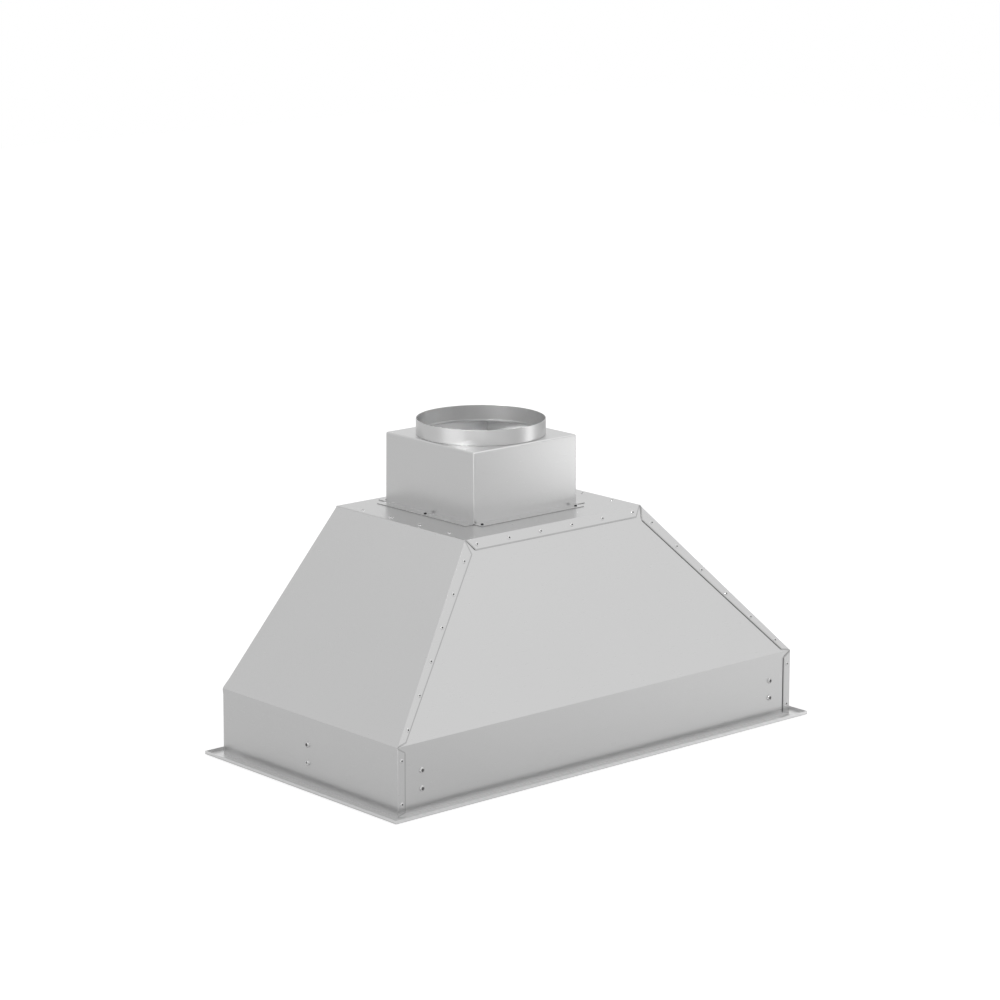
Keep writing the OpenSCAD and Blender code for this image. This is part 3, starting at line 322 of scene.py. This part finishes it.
def even_normals(solid):
    """Corner normals that keep wide faces flat while the narrow bends between them turn."""
    solid.normal_update()
    solid.faces.index_update()
    areas = [face.calc_area() for face in solid.faces]
    normals = []
    for face in solid.faces:
        reach = math.cos(flat_angle if face_width(face) > wide_face else round_angle)
        for corner in face.verts:
            total = face.normal * 1e-9
            for other in corner.link_faces:
                if other.normal.dot(face.normal) > reach:
                    total = total + other.normal * areas[other.index]
            normals.append(total.normalized())
    return normals


def finished(name, solid, body, slot, *materials):
    """The piece that a bmesh becomes: smooth over its bends, flat on its faces, on its body."""
    mesh = bpy.data.meshes.new(name)
    corner_normals = even_normals(solid)
    for face in solid.faces:
        face.smooth = True
    solid.to_mesh(mesh)
    solid.free()
    mesh.set_sharp_from_angle(angle=sharp_angle)
    mesh.normals_split_custom_set(corner_normals)
    for material in materials:
        mesh.materials.append(material)
    piece = bpy.data.objects.new(name, mesh)
    bpy.context.collection.objects.link(piece)
    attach(piece, body)
    return piece


def solid_of(node):
    """A node's solid with each flat face made whole again."""
    solid = bmesh.new()
    solid.from_mesh(nodes[node].data)
    bmesh.ops.remove_doubles(solid, verts=solid.verts, dist=same_point)
    bmesh.ops.dissolve_limit(solid, angle_limit=same_face, verts=solid.verts, edges=solid.edges)
    for face in solid.faces:
        face.material_index = 0
    return solid


def ease_edges(solid, width, sharper_than=edge_angle, steps=2, only=None, clamp=True):
    """Rounds the corners that are sharper than an angle and, if asked, that pass a test."""
    edges = [e for e in solid.edges if e.is_manifold and e.calc_face_angle(0) > sharper_than]
    if only:
        edges = [e for e in edges if only(e)]
    bmesh.ops.bevel(solid, geom=edges, offset=width, offset_type="OFFSET", segments=steps,
                    profile=0.5, affect="EDGES", clamp_overlap=clamp)


def is_fold(edge):
    """Where sheet was bent: a long outside corner between two wide faces."""
    return edge.is_convex and edge.calc_length() > fold_length and all(
        face_width(face) > wide_face for face in edge.link_faces)


def is_long(edge):
    """Leaves out the rims of small holes, which the rivets and screws cover."""
    return edge.calc_length() > rim_length


def eased(node, body, slot, width, *materials, fold=0, steps=2, shape=None, folds=is_fold):
    """Stands for a node: the same solid with folded and cut edges rounded."""
    solid = solid_of(node)
    if shape:
        shape(solid)
    if fold:
        ease_edges(solid, fold, fold_angle, fold_steps, folds, clamp=False)
    if width:
        ease_edges(solid, width, steps=steps, only=is_long if fold else None)
    bmesh.ops.remove_doubles(solid, verts=solid.verts, dist=2 * same_point)
    piece = finished("eased_" + node, solid, body, slot, *materials)
    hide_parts(node)
    return piece


def is_cut(face):
    """The narrow side that shows the sheet's thickness, square to the sheet's own faces."""
    beside = [edge.calc_face_angle(0) for edge in face.edges if edge.is_manifold and max(
        face_width(other) for other in edge.link_faces) > wide_face]
    return face_width(face) < cut_face and bool(beside) and min(beside) > cut_angle


def mark_cut_edges(solid):
    """Marks the sheared edges between ledge and top, which are painted near black as painted shade
    for the gap beside the strips.
    """
    for face in solid.faces:
        if marked_from < face.calc_center_median().z < marked_to and is_cut(face):
            face.material_index = cut_shadow_slot


def lies_in(face, point, normal):
    """Whether a face lies in the plane through a point, square to a normal."""
    return face.normal.dot(normal) > same_way and abs(
        (face.verts[0].co - point).dot(normal)) < same_plane


def bend_margins(solid):
    """Rolls the sheared margins of the strips that lap another panel down against it, and paints
    them darker as painted shade along the lap.
    """
    margins = []
    for edge in solid.edges:
        if not edge.is_manifold or edge.calc_length() < margin_length:
            continue
        for face, cut in (edge.link_faces, reversed(edge.link_faces)):
            outward = math.copysign(1, face.calc_center_median().y)
            if is_cut(cut) and face_width(face) > wide_face and face.normal.y * outward > 0.5:
                middle = (edge.verts[0].co + edge.verts[1].co) / 2
                inward = face.normal * cut.normal.dot(face.normal) - cut.normal
                margins.append((middle, face.normal.copy(), inward.normalized()))
    rolled = set()
    for middle, normal, inward in margins:
        flat = [face for face in solid.faces if lies_in(face, middle, normal)]
        edges = {edge for face in flat for edge in face.edges}
        corners = {corner for face in flat for corner in face.verts}
        bmesh.ops.bisect_plane(solid, geom=[*flat, *edges, *corners], dist=same_point,
                               plane_co=middle + inward * margin_w, plane_no=inward)
        for face in solid.faces:
            away = (face.calc_center_median() - middle).dot(inward)
            if lies_in(face, middle, normal) and 0 < away < margin_w:
                face.material_index = margin_shade_slot
                rolled.update((corner, tuple(normal)) for corner in face.verts
                              if (corner.co - middle).dot(inward) < 10 * same_point)
    for corner, normal in rolled:
        corner.co -= Vector(normal) * margin_drop


def mark_ledge(solid):
    """Marks the ledge, which lies low round the skirts and is painted lighter than the rest of the
    same sheet, as painted light.
    """
    for face in solid.faces:
        middle = face.calc_center_median()
        out = max(abs(middle.x) - skirt_half.x, abs(middle.y) - skirt_half.y)
        if middle.z < ledge_top and out > wide_face:
            face.material_index = ledge_lit_slot


def is_bend(edge):
    """The open bend between skirt and slope."""
    return (is_fold(edge) and edge.calc_face_angle(0) < bend_angle
            and edge.calc_length() > bend_length)


def finish_panel(solid):
    """Marks a panel's ledge and rounds the bend between its skirt and its slope."""
    mark_ledge(solid)
    ease_edges(solid, bend_r, fold_angle, fold_steps, is_bend)


def finish_laps(solid):
    """Finishes a sheet whose strips lap over another."""
    mark_cut_edges(solid)
    bend_margins(solid)
    finish_panel(solid)


skirt_half = cad_bounds[1] - Vector((ledge_w, ledge_w, 0))
sheet_steel = satin_steel("sheet_steel", sheet_colour, roughness=0.28)
# Painted light on the ledge.
ledge_lit_steel = satin_steel("ledge_lit_steel", ledge_lit_colour, roughness=0.38)
# Painted shade along the strips' margins.
margin_shade_steel = satin_steel("margin_shade_steel", margin_shade_colour, roughness=0.35)
# Painted shade: the sheared edges' dark colour stands for the shadow gap along the strips.
cut_shadow_steel = satin_steel("cut_shadow_steel", edge_shade_colour, roughness=0.45, grain=end_grain)
for side in ("left", "right"):
    eased(side + "_end_panel", "shell", "satin_steel", cut_edge, sheet_steel, cut_shadow_steel,
          margin_shade_steel, ledge_lit_steel, fold=lap_fold_r, shape=finish_laps)

# Front and back panels
# Plain bent sheets between the end panels, each with its side of the ledge. They lie under the
# strips that the end panels and the top plate fold over them.
for panel in ("front_panel", "back_panel"):
    eased(panel, "shell", "satin_steel", cut_edge, sheet_steel, sheet_steel, sheet_steel,
          ledge_lit_steel, fold=fold_r, shape=finish_panel)

# Top plate
# One sheet bent down over the front and the back, with mitred flange ends, a square hole for the
# damper and drilled holes for the transition box's screws.
eased("top_plate", "shell", "satin_steel", cut_edge, sheet_steel, cut_shadow_steel, margin_shade_steel,
      fold=fold_r, shape=finish_laps)

# Rivets
# Pulled blind rivets of stainless steel, with a low dome and the dimple that the mandrel leaves.
# They hold the strips to the sheets below, and their blind ends bulge inside. The dimple is
# painted dark as painted shade.
no_grain = (1, 1, 1)
rivet_rings = (
    (0, -3.5), (1.3, -3.45), (1.95, -3.2), (2.2, -2.7), (2.05, -2.2), (1.6, -2),
    (1.6, 0), (3.3, 0), (3.28, 0.25), (3.05, 0.55), (2.6, 0.82), (2, 1), (1.6, 1.08), (1.3, 1.05),
    (1.15, 0.85), (1.1, 0.4), (0.8, 0.42), (0.4, 0.52), (0, 0.56),
)
rivet_top = 1.1
# The rings from here on are painted dark as the dimple's painted shade.
shaded_ring = 13
rivet_sides = 20


def fasteners_in(node):
    """Each separate fastener's axis, outward, and the point where it leaves the head's top."""
    solid = solid_of(node)
    found = []
    waiting = set(solid.verts)
    while waiting:
        island = [waiting.pop()]
        for corner in island:
            for edge in corner.link_edges:
                other = edge.other_vert(corner)
                if other in waiting:
                    waiting.remove(other)
                    island.append(other)
        faces = {face for corner in island for face in corner.link_faces}
        widest = max(faces, key=lambda face: face.calc_area())
        outward = -widest.normal.normalized()
        centre = sum((corner.co for corner in island), Vector()) / len(island)
        top = max((corner.co - centre).dot(outward) for corner in island)
        found.append((outward, centre + outward * top))
    solid.free()
    return found


def turned(spots, ring_sizes, head_top=0, first_shaded=math.inf, sides=rivet_sides):
    """Fasteners turned from rings' radii and heights, in millimetres, one at each spot.

    From the first shaded ring on they get the second material, which paints the hollow of a dimple
    or recess dark as painted shade.
    """
    solid = bmesh.new()
    for outward, top in spots:
        across = outward.orthogonal().normalized()
        beside = outward.cross(across)
        rings = []
        for radius, height in ring_sizes:
            middle = top + outward * (height - head_top) / 1000
            turns = [2 * math.pi * k / sides for k in range(sides if radius else 1)]
            out = [across * math.cos(turn) + beside * math.sin(turn) for turn in turns]
            rings.append([solid.verts.new(middle + way * radius / 1000) for way in out])
        for step, (low, high) in enumerate(zip(rings, rings[1:])):
            for k in range(sides):
                after = (k + 1) % sides
                corners = [low[k % len(low)], low[after % len(low)], high[after % len(high)],
                           high[k % len(high)]]
                face = solid.faces.new(list(dict.fromkeys(corners)))
                face.material_index = step >= first_shaded
    return solid


rivet_steel = satin_steel("rivet_steel", (0.64, 0.64, 0.64), roughness=0.24, grain=no_grain)
# Painted shade for the hollows of rivets and screws.
hollow_shade_steel = satin_steel("hollow_shade_steel", (0.1, 0.1, 0.1), roughness=0.45, grain=no_grain)
rivets = turned(fasteners_in("shell_rivets"), rivet_rings, rivet_top, shaded_ring)
turned_rivets = finished("turned_rivets", rivets, "shell", "rivet_steel", rivet_steel,
                         hollow_shade_steel)
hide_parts("shell_rivets")

# Transition box
# A box folded from bright stainless sheet, with a foot flange that is open at its corners and
# relief holes where the folds meet.
box_fold_r = 0.003
hole_facet = 2 * sheet_t
duct_axis = (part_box("duct_collar")[0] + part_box("duct_collar")[1]) / 2
box_foot_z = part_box("transition_box")[0].z + 2 * sheet_t
inside_slot, foot_shade_slot, hole_shade_slot = 1, 2, 3


def mark_inside(solid):
    """Marks the sides that face the duct's axis, and the foot's cut edges and drilled holes, which
    are painted dark as painted shade.
    """
    for face in solid.faces:
        middle = face.calc_center_median()
        inward = duct_axis - middle
        inward.z = 0
        if face.normal.dot(inward.normalized()) > 0.5:
            face.material_index = inside_slot
        elif is_cut(face) and middle.z < box_foot_z:
            longest = max(edge.calc_length() for edge in face.edges)
            face.material_index = foot_shade_slot if longest > hole_facet else hole_shade_slot


def is_box_fold(edge):
    """The folds between the box's outer sides, above its foot."""
    return is_fold(edge) and max(corner.co.z for corner in edge.verts) > box_foot_z and all(
        face.material_index == 0 for face in edge.link_faces)


box_steel = satin_steel("box_steel", (0.62, 0.62, 0.62), roughness=0.28)
mill_side = satin_steel("mill_side", (0.88, 0.88, 0.88), roughness=0.5, grain=no_grain,
                        spread=0.06, metallic=0.4)
# Painted shade: a dark line on the foot's cut edges and near black in its drilled holes.
foot_edge_shade_steel = satin_steel("foot_edge_shade_steel", (0.36, 0.36, 0.36), roughness=0.4)
hole_shade_steel = satin_steel("hole_shade_steel", (0.01, 0.01, 0.01), roughness=0.6)
eased("transition_box", "shell", "box_steel", cut_edge, box_steel, mill_side, foot_edge_shade_steel,
      hole_shade_steel, fold=box_fold_r, shape=mark_inside, folds=is_box_fold)

# Box screws
# Short pan-head screws of steel with a black oxide finish, driven through the holes of the box's
# foot and of the top plate.
box_screw_rings = (
    (0, -2.5), (1.6, -2.5), (2.1, -2.1), (2.1, 0), (2.35, 0), (2.35, 0.5), (2.2, 0.95),
    (1.8, 1.25), (1.2, 1.4), (0.8, 1.4), (0.7, 0.7), (0, 0.7),
)
hole_corner = 0.009
hole_out = 0.0085
flange_w = 0.018
box_low, box_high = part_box("transition_box")
box_half = (box_high.x - box_low.x) / 2 - flange_w
box_screw_spots = [
    (Vector((0, 0, 1)), Vector((x, duct_axis.y + y, box_low.z + sheet_t)))
    for side in (-1, 1) for x, y in (
        (side * (box_half - hole_corner), -box_half - hole_out),
        (side * (box_half - hole_corner), box_half + hole_out),
        (side * (box_half + hole_out), 0),
    )
]
black_oxide = satin_steel("black_oxide", (0.012, 0.012, 0.013), roughness=0.35, grain=no_grain)
finished("box_screws", turned(box_screw_spots, box_screw_rings), "shell", "screw_steel",
         black_oxide)

# Duct collar
# Stainless strip rolled into a ring, over which a round duct slides. Its small foot flange lies
# inside the box.
collar_edge = 0.0004
collar_steel = satin_steel("collar_steel", (0.6, 0.6, 0.6), roughness=0.32)
collar_inside = satin_steel("collar_inside", (0.57, 0.57, 0.57), roughness=0.42)
eased("duct_collar", "shell", "collar_steel", collar_edge, collar_steel, collar_inside,
      shape=mark_inside)

# Damper
# A pressed galvanised frame on the top plate, a rod across it, and two flaps whose barrels turn
# on the rod. Air lifts the flaps, and they fall shut on the frame's ledge.
zinc_light = (0.62, 0.6262, 0.6324)
zinc_dark = (0.47, 0.4747, 0.4841)
crystal_blur = 0.4
sheet_edge = 0.0002


def cells(material, place, scale):
    """A pattern of cells, each with its own colour and the distance from its middle."""
    pattern = material.node_tree.nodes.new("ShaderNodeTexVoronoi")
    pattern.inputs["Scale"].default_value = scale
    wire(material, place, pattern.inputs["Vector"])
    return pattern


def spangled_zinc(name, crystal=70, roughness=0.4):
    """Galvanised sheet: crystals of zinc, each a little lighter or darker and duller."""
    material, shader = new_material(name)
    tree = material.node_tree
    shader.inputs["Metallic"].default_value = 1.0
    place = object_place(material)
    shift = tree.nodes.new("ShaderNodeVectorMath")
    shift.operation = "MULTIPLY_ADD"
    wire(material, clouds(material, place, crystal * 2)["Color"], shift.inputs[0])
    shift.inputs[1].default_value = [crystal_blur / crystal] * 3
    wire(material, place, shift.inputs[2])
    crystals = cells(material, shift.outputs[0], crystal).outputs
    split = tree.nodes.new("ShaderNodeSeparateColor")
    wire(material, crystals["Color"], split.inputs[0])
    give_tone(material, shader, split.outputs[0], zinc_dark, zinc_light)
    give_gloss(material, shader, split.outputs[1], roughness - 0.1, roughness + 0.1)
    give_bumps(material, shader, crystals["Distance"], 0.08, 0.0002)
    return material


zinc_sheet = spangled_zinc("zinc_sheet")
zinc_plated = satin_steel("zinc_plated", (0.6, 0.61, 0.64), roughness=0.25, grain=no_grain)
eased("damper_frame", "shell", "galvanised", cut_edge, zinc_sheet)
eased("damper_rod", "shell", "zinc_rod", cut_edge, zinc_plated)
for side in ("front", "rear"):
    eased(side + "_damper_flap", side + "_flap", "galvanised", sheet_edge, zinc_sheet)

# Bottom pan and its screws
# A stainless pan with upturned sides, held by screws through the skirts into nuts on its ears.
# Beaded rails screwed to it carry the filters.
x_grain = (1, 60, 60)
recess_depth = 0.0016
screw_rim = 0.0028
dome_r = 0.0006
recess_edge = 0.0001
nut_edge = 0.00015
recess_shade_slot = 1
pan_steel = satin_steel("pan_steel", (0.58, 0.585, 0.59), roughness=0.27, grain=x_grain)
eased("bottom_pan", "shell", "pan_steel", cut_edge, pan_steel, fold=fold_r)
for rail in ("rear_filter_rail", "centre_rail"):
    eased(rail, "shell", "pan_steel", cut_edge, pan_steel)


def mark_recess(solid):
    """Marks the cross recesses, which are painted darker as painted shade, and domes the heads."""
    tops = fasteners_in("liner_screws")
    rims = set()
    for face in solid.faces:
        middle = face.calc_center_median()
        outward, top = min(tops, key=lambda spot: (spot[1] - middle).length)
        sunk = any(not edge.is_convex for edge in face.edges)
        if sunk and (top - middle).dot(outward) < recess_depth:
            face.material_index = recess_shade_slot
        for edge in face.edges:
            away = (edge.verts[0].co + edge.verts[1].co) / 2 - top
            if away.length > screw_rim and -away.dot(outward) < 1.2 * recess_depth:
                rims.add(edge)
    ease_edges(solid, dome_r, steps=3, only=lambda edge: edge in rims)


screw_steel = satin_steel("screw_steel", (0.7, 0.7, 0.7), roughness=0.14, grain=no_grain)
# Painted shade: the cross recesses are coloured darker.
recess_shade_steel = satin_steel("recess_shade_steel", (0.22, 0.22, 0.22), roughness=0.4, grain=no_grain)
eased("liner_screws", "shell", "screw_steel", recess_edge, screw_steel, recess_shade_steel, steps=1,
      shape=mark_recess)
eased("liner_nuts", "shell", "screw_steel", nut_edge, screw_steel, steps=1)

# Filters
# Each has a welded frame of stainless channel with roll-formed baffles in two rows, which turn the
# air so that grease runs off. A sliding plastic latch holds its front edge.
y_grain = (60, 1, 60)
latch_edge = 0.0006
plastic_spread = 0.12
plastic_gloss = 0.06


def moulded_plastic(name, colour, roughness, pebble=900, depth=0.00006):
    """Moulded plastic with the fine pebble of its mould and slow changes of tone and gloss."""
    material, shader = new_material(name)
    place = object_place(material)
    fine = clouds(material, place, pebble, detail=3)["Fac"]
    slow = clouds(material, place, 18)["Fac"]
    give_tone(material, shader, slow, *tones(colour, plastic_spread))
    give_gloss(material, shader, slow, roughness - plastic_gloss, roughness + plastic_gloss)
    give_bumps(material, shader, fine, 0.35, depth)
    return material


filter_steel = satin_steel("filter_steel", (0.6, 0.6, 0.6), roughness=0.22, grain=y_grain)
baffle_steel = satin_steel("baffle_steel", (0.56, 0.56, 0.565), roughness=0.24, grain=y_grain)
black_plastic = moulded_plastic("black_plastic", (0.022, 0.022, 0.024), roughness=0.42)
for side in ("left", "right"):
    body = side + "_filter"
    eased(side + "_filter_frame", body, "filter_steel", cut_edge, filter_steel)
    eased(side + "_filter_baffles", body, "filter_steel", sheet_edge, baffle_steel)
    eased(side + "_filter_latch", side + "_latch", "black_plastic", latch_edge, black_plastic,
          steps=3)

# Blower housing
# Two galvanised side plates on studs under the top plate, with a scroll of the same sheet between
# them, an inlet ring on each and a flange that carries the outlet.
for part in ("blower_left_side", "blower_right_side", "blower_scroll", "outlet_flange",
             "inlet_rings"):
    eased(part, "shell", "galvanised", sheet_edge, zinc_sheet)
for fasteners in ("blower_studs", "blower_nuts"):
    eased(fasteners, "shell", "screw_steel", nut_edge, zinc_plated, steps=1)

# Blower wheel
# A double-inlet wheel: a centre disc, forward-curved blades and an end ring on each side, all of
# zinc-coated steel, on the motor's shaft.
wheel_steel = spangled_zinc("wheel_steel", crystal=160, roughness=0.34)
nodes["blower_wheel"].material_slots[0].material = wheel_steel

# Motor
# A closed can on a ringed bracket in the left inlet: bearings, a wound stator, and a rotor on the
# ground steel shaft that turns the wheel.
shaft_grain = (60, 1, 1)
housing_edge = 0.0012
motor_black = (0.035, 0.036, 0.04)
copper = (0.62, 0.24, 0.1)
copper_shade = (0.279, 0.108, 0.045)
wire_turns = 900
bolt_rings = (
    (0, -1), (1.5, -1), (1.5, 0), (3.4, 0), (3.4, 0.35), (3.1, 0.4), (3.1, 2.1), (2.7, 2.5),
    (0, 2.6),
)
bolt_share = 0.27
motor_low, motor_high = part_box("motor_housing")
motor_middle = (motor_low + motor_high) / 2
bolt_reach = bolt_share * (motor_high.z - motor_low.z)
bolt_spots = [
    (Vector((-1, 0, 0)), Vector((motor_low.x, motor_middle.y + across * bolt_reach,
                                 motor_middle.z + up * bolt_reach)))
    for across in (-1, 1) for up in (-1, 1)
]


def wound_copper(name):
    """Enamelled winding wire, turn beside turn round the wheel's axis."""
    material, shader = new_material(name)
    shader.inputs["Metallic"].default_value = 0.85
    shader.inputs["Roughness"].default_value = 0.32
    shader.inputs["Coat Weight"].default_value = 0.6
    shader.inputs["Coat Roughness"].default_value = 0.2
    turns = material.node_tree.nodes.new("ShaderNodeTexWave")
    turns.bands_direction = "X"
    turns.inputs["Scale"].default_value = wire_turns / 2 / math.pi
    turns.inputs["Distortion"].default_value = 1.2
    wire(material, object_place(material), turns.inputs["Vector"])
    give_tone(material, shader, turns.outputs["Fac"], copper_shade, copper)
    give_bumps(material, shader, turns.outputs["Fac"], 0.6, 0.0004)
    return material


ground_steel = satin_steel("ground_steel", (0.62, 0.62, 0.63), roughness=0.16, grain=shaft_grain)
motor_paint = moulded_plastic("motor_paint", motor_black, roughness=0.38, pebble=500, depth=0.0001)
eased("motor_shaft", "wheel", "shaft_steel", cut_edge, ground_steel)
eased("motor_rotor", "wheel", "shaft_steel", cut_edge, ground_steel)
eased("motor_bearings", "shell", "shaft_steel", cut_edge, ground_steel)
eased("motor_stator", "shell", "copper_winding", cut_edge, wound_copper("winding"))
eased("motor_housing", "shell", "motor_paint", housing_edge, motor_paint, steps=3)
eased("motor_bracket", "shell", "galvanised", sheet_edge, zinc_sheet)
finished("motor_bolts", turned(bolt_spots, bolt_rings, sides=6), "shell", "screw_steel",
         zinc_plated)

# Capacitor and its clip
# The motor's run capacitor is a plastic can with two tinned blades, to which the motor's leads
# push on. A galvanised clip holds it on the back panel.
capacitor_edge = 0.0012
boss = Vector((0.002, 0.0085, 0.004))
blade = Vector((0.009, 0.0063, 0.0008))
blade_gap = 0.012
boss_slot = 1


def add_block(solid, middle, size, turn=0.0):
    """Adds a block and gives its faces."""
    place = Matrix.Translation(middle) @ Matrix.Rotation(turn, 4, "Z") @ Matrix.Diagonal((*size, 1))
    corners = bmesh.ops.create_cube(solid, size=1, matrix=place)["verts"]
    return list({face for corner in corners for face in corner.link_faces})


def terminal_blades():
    """Two tinned blades, each on a moulded boss on the can's end."""
    low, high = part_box("capacitor")
    middle = (low + high) / 2
    solid = bmesh.new()
    for side in (-1, 1):
        foot = Vector((high.x, middle.y, middle.z + side * blade_gap / 2))
        for face in add_block(solid, foot + Vector((boss.x / 2, 0, 0)), boss):
            face.material_index = boss_slot
        add_block(solid, foot + Vector((boss.x + blade.x / 2, 0, 0)), blade)
    ease_edges(solid, sheet_edge)
    return solid


white_plastic = moulded_plastic("white_plastic", (0.72, 0.72, 0.7), roughness=0.4)
eased("capacitor", "shell", "white_plastic", capacitor_edge, white_plastic, steps=3)
eased("capacitor_clip", "shell", "galvanised", sheet_edge, zinc_sheet)
finished("capacitor_terminals", terminal_blades(), "shell", "screw_steel", zinc_plated,
         white_plastic)

# Junction box and bushing
# A galvanised box on the back panel, closed by a screwed cover, behind the hole where the supply
# cable comes in through a snap-in bushing.
bushing_edge = 0.0005
pan_head_rings = (
    (0, -4), (1.2, -4), (1.6, -3.4), (1.6, 0), (3.3, 0), (3.3, 0.6), (3, 1.3), (2.3, 1.8), (1.3, 2),
    (0.9, 2), (0.8, 1), (0, 0.9),
)
pan_head_recess = 9
cover_corners = ((0.08, 0.12), (0.92, 0.12), (0.08, 0.88), (0.92, 0.88))
forward = Vector((0, -1, 0))


def screws_on(node, places):
    """Pan-head screws on a node's front face, at shares of its width and height."""
    low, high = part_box(node)
    size = high - low
    spots = [(forward, Vector((low.x + size.x * across, low.y, low.z + size.z * up)))
             for across, up in places]
    return turned(spots, pan_head_rings, first_shaded=pan_head_recess)


for part in ("junction_box", "junction_box_cover"):
    eased(part, "shell", "galvanised", sheet_edge, zinc_sheet)
eased("cable_bushing", "shell", "black_plastic", bushing_edge, black_plastic, steps=3)
# The cover screws' recesses are painted dark as painted shade.
finished("cover_screws", screws_on("junction_box_cover", cover_corners), "shell", "screw_steel",
         zinc_plated, hollow_shade_steel)

# Lamps
# Two flat lamps in the pan: a galvanised can, a satin bezel, a frosted lens and a board of light
# emitters, fed by a driver on the back panel.
soft_edge = 0.0004
driver_edge = 0.001
driver_ends = ((0.06, 0.5), (0.94, 0.5))
lens_white = (0.93, 0.93, 0.9)
lens_shade = (0.82, 0.82, 0.8)
track_share = 0.62
chip_size = Vector((0.0032, 0.0032, 0.0008))
chip_rings = ((0.0105, 6), (0.0205, 12))
window_rim = 0.0005
window_depth = 0.0002
window_slot = 1
phosphor_colour = (0.85, 0.62, 0.12)


def frosted_lens(name):
    """Frosted plastic with moulded pips that spread the light."""
    material, shader = new_material(name)
    shader.inputs["Transmission Weight"].default_value = 0.3
    shader.inputs["IOR"].default_value = 1.49
    pips = cells(material, object_place(material), 420).outputs["Distance"]
    give_tone(material, shader, pips, lens_white, lens_shade)
    give_gloss(material, shader, pips, 0.3, 0.5)
    give_bumps(material, shader, pips, 0.4, 0.0003)
    return material


def solder_mask(name):
    """A green circuit board: lacquer over copper tracks that run square to each other."""
    material, shader = new_material(name)
    shader.inputs["Roughness"].default_value = 0.34
    shader.inputs["Coat Weight"].default_value = 0.4
    tracks = cells(material, object_place(material), 260)
    tracks.distance = "CHEBYCHEV"
    edge = material.node_tree.nodes.new("ShaderNodeValToRGB")
    edge.color_ramp.interpolation = "CONSTANT"
    edge.color_ramp.elements[0].color = (0.012, 0.11, 0.04, 1)
    edge.color_ramp.elements[1].color = (0.03, 0.2, 0.08, 1)
    edge.color_ramp.elements[1].position = track_share
    wire(material, tracks.outputs["Distance"], edge.inputs["Fac"])
    wire(material, edge.outputs["Color"], shader.inputs["Base Color"])
    return material


def board_chips():
    """Square light-emitting chips in two rings under each board, each with a phosphor window."""
    low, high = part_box("led_boards")
    solid = bmesh.new()
    board_r = (high.y - low.y) / 2
    for side in (-1, 1):
        centre = Vector((side * (high.x - board_r), (low.y + high.y) / 2, low.z - chip_size.z / 2))
        for ring_r, count in chip_rings:
            for k in range(count):
                turn = 2 * math.pi * k / count
                out = Vector((math.cos(turn), math.sin(turn), 0)) * ring_r
                faces = add_block(solid, centre + out, chip_size, turn)
                window = min(faces, key=lambda face: face.calc_center_median().z)
                bmesh.ops.inset_individual(solid, faces=[window], thickness=window_rim,
                                           depth=-window_depth)
                window.material_index = window_slot
    return solid


bezel_steel = satin_steel("bezel_steel", (0.64, 0.64, 0.645), roughness=0.16, grain=no_grain)
board_green = solder_mask("board_green")
phosphor = moulded_plastic("phosphor", phosphor_colour, roughness=0.5)
eased("lamp_cans", "shell", "galvanised", sheet_edge, zinc_sheet)
eased("lamp_bezels", "shell", "pan_steel", soft_edge, bezel_steel)
eased("lamp_lenses", "shell", "lens_glass", soft_edge, frosted_lens("lens_frosted"))
eased("led_boards", "shell", "circuit_board", 0, board_green)
finished("led_chips", board_chips(), "shell", "circuit_board", white_plastic, phosphor)
eased("led_driver", "shell", "white_plastic", driver_edge, white_plastic, steps=3)
# The driver screws' recesses are painted dark as painted shade.
finished("driver_screws", screws_on("led_driver", driver_ends), "shell", "screw_steel",
         zinc_plated, hollow_shade_steel)

# Controls
# A bezel under the pan with four steel-capped buttons on stems, which press the switches of the
# board in the black housing above it.
bezel_edge = 0.0005
button_edge = 0.0003
button_steel = satin_steel("button_steel", (0.62, 0.62, 0.62), roughness=0.22, grain=y_grain)
eased("control_housing", "shell", "black_plastic", soft_edge, black_plastic)
eased("control_board", "shell", "circuit_board", cut_edge, board_green)
eased("control_bezel", "shell", "black_plastic", bezel_edge, black_plastic, steps=3)
for button in ("fan_power", "fan_slower", "fan_faster", "light"):
    eased(button + "_button", button, "button_steel", button_edge, button_steel)

# Cables
# Round black leads from the motor, the controls and the lamps, which lie against the pan and the
# panels and end in the junction box or the lamps.
sheath = moulded_plastic("sheath", (0.03, 0.03, 0.032), roughness=0.5, pebble=300, depth=0.0002)
for cable in ("motor_cable", "control_cable", "lamp_leads"):
    eased(cable, "shell", "cable_sheath", 0, sheath)
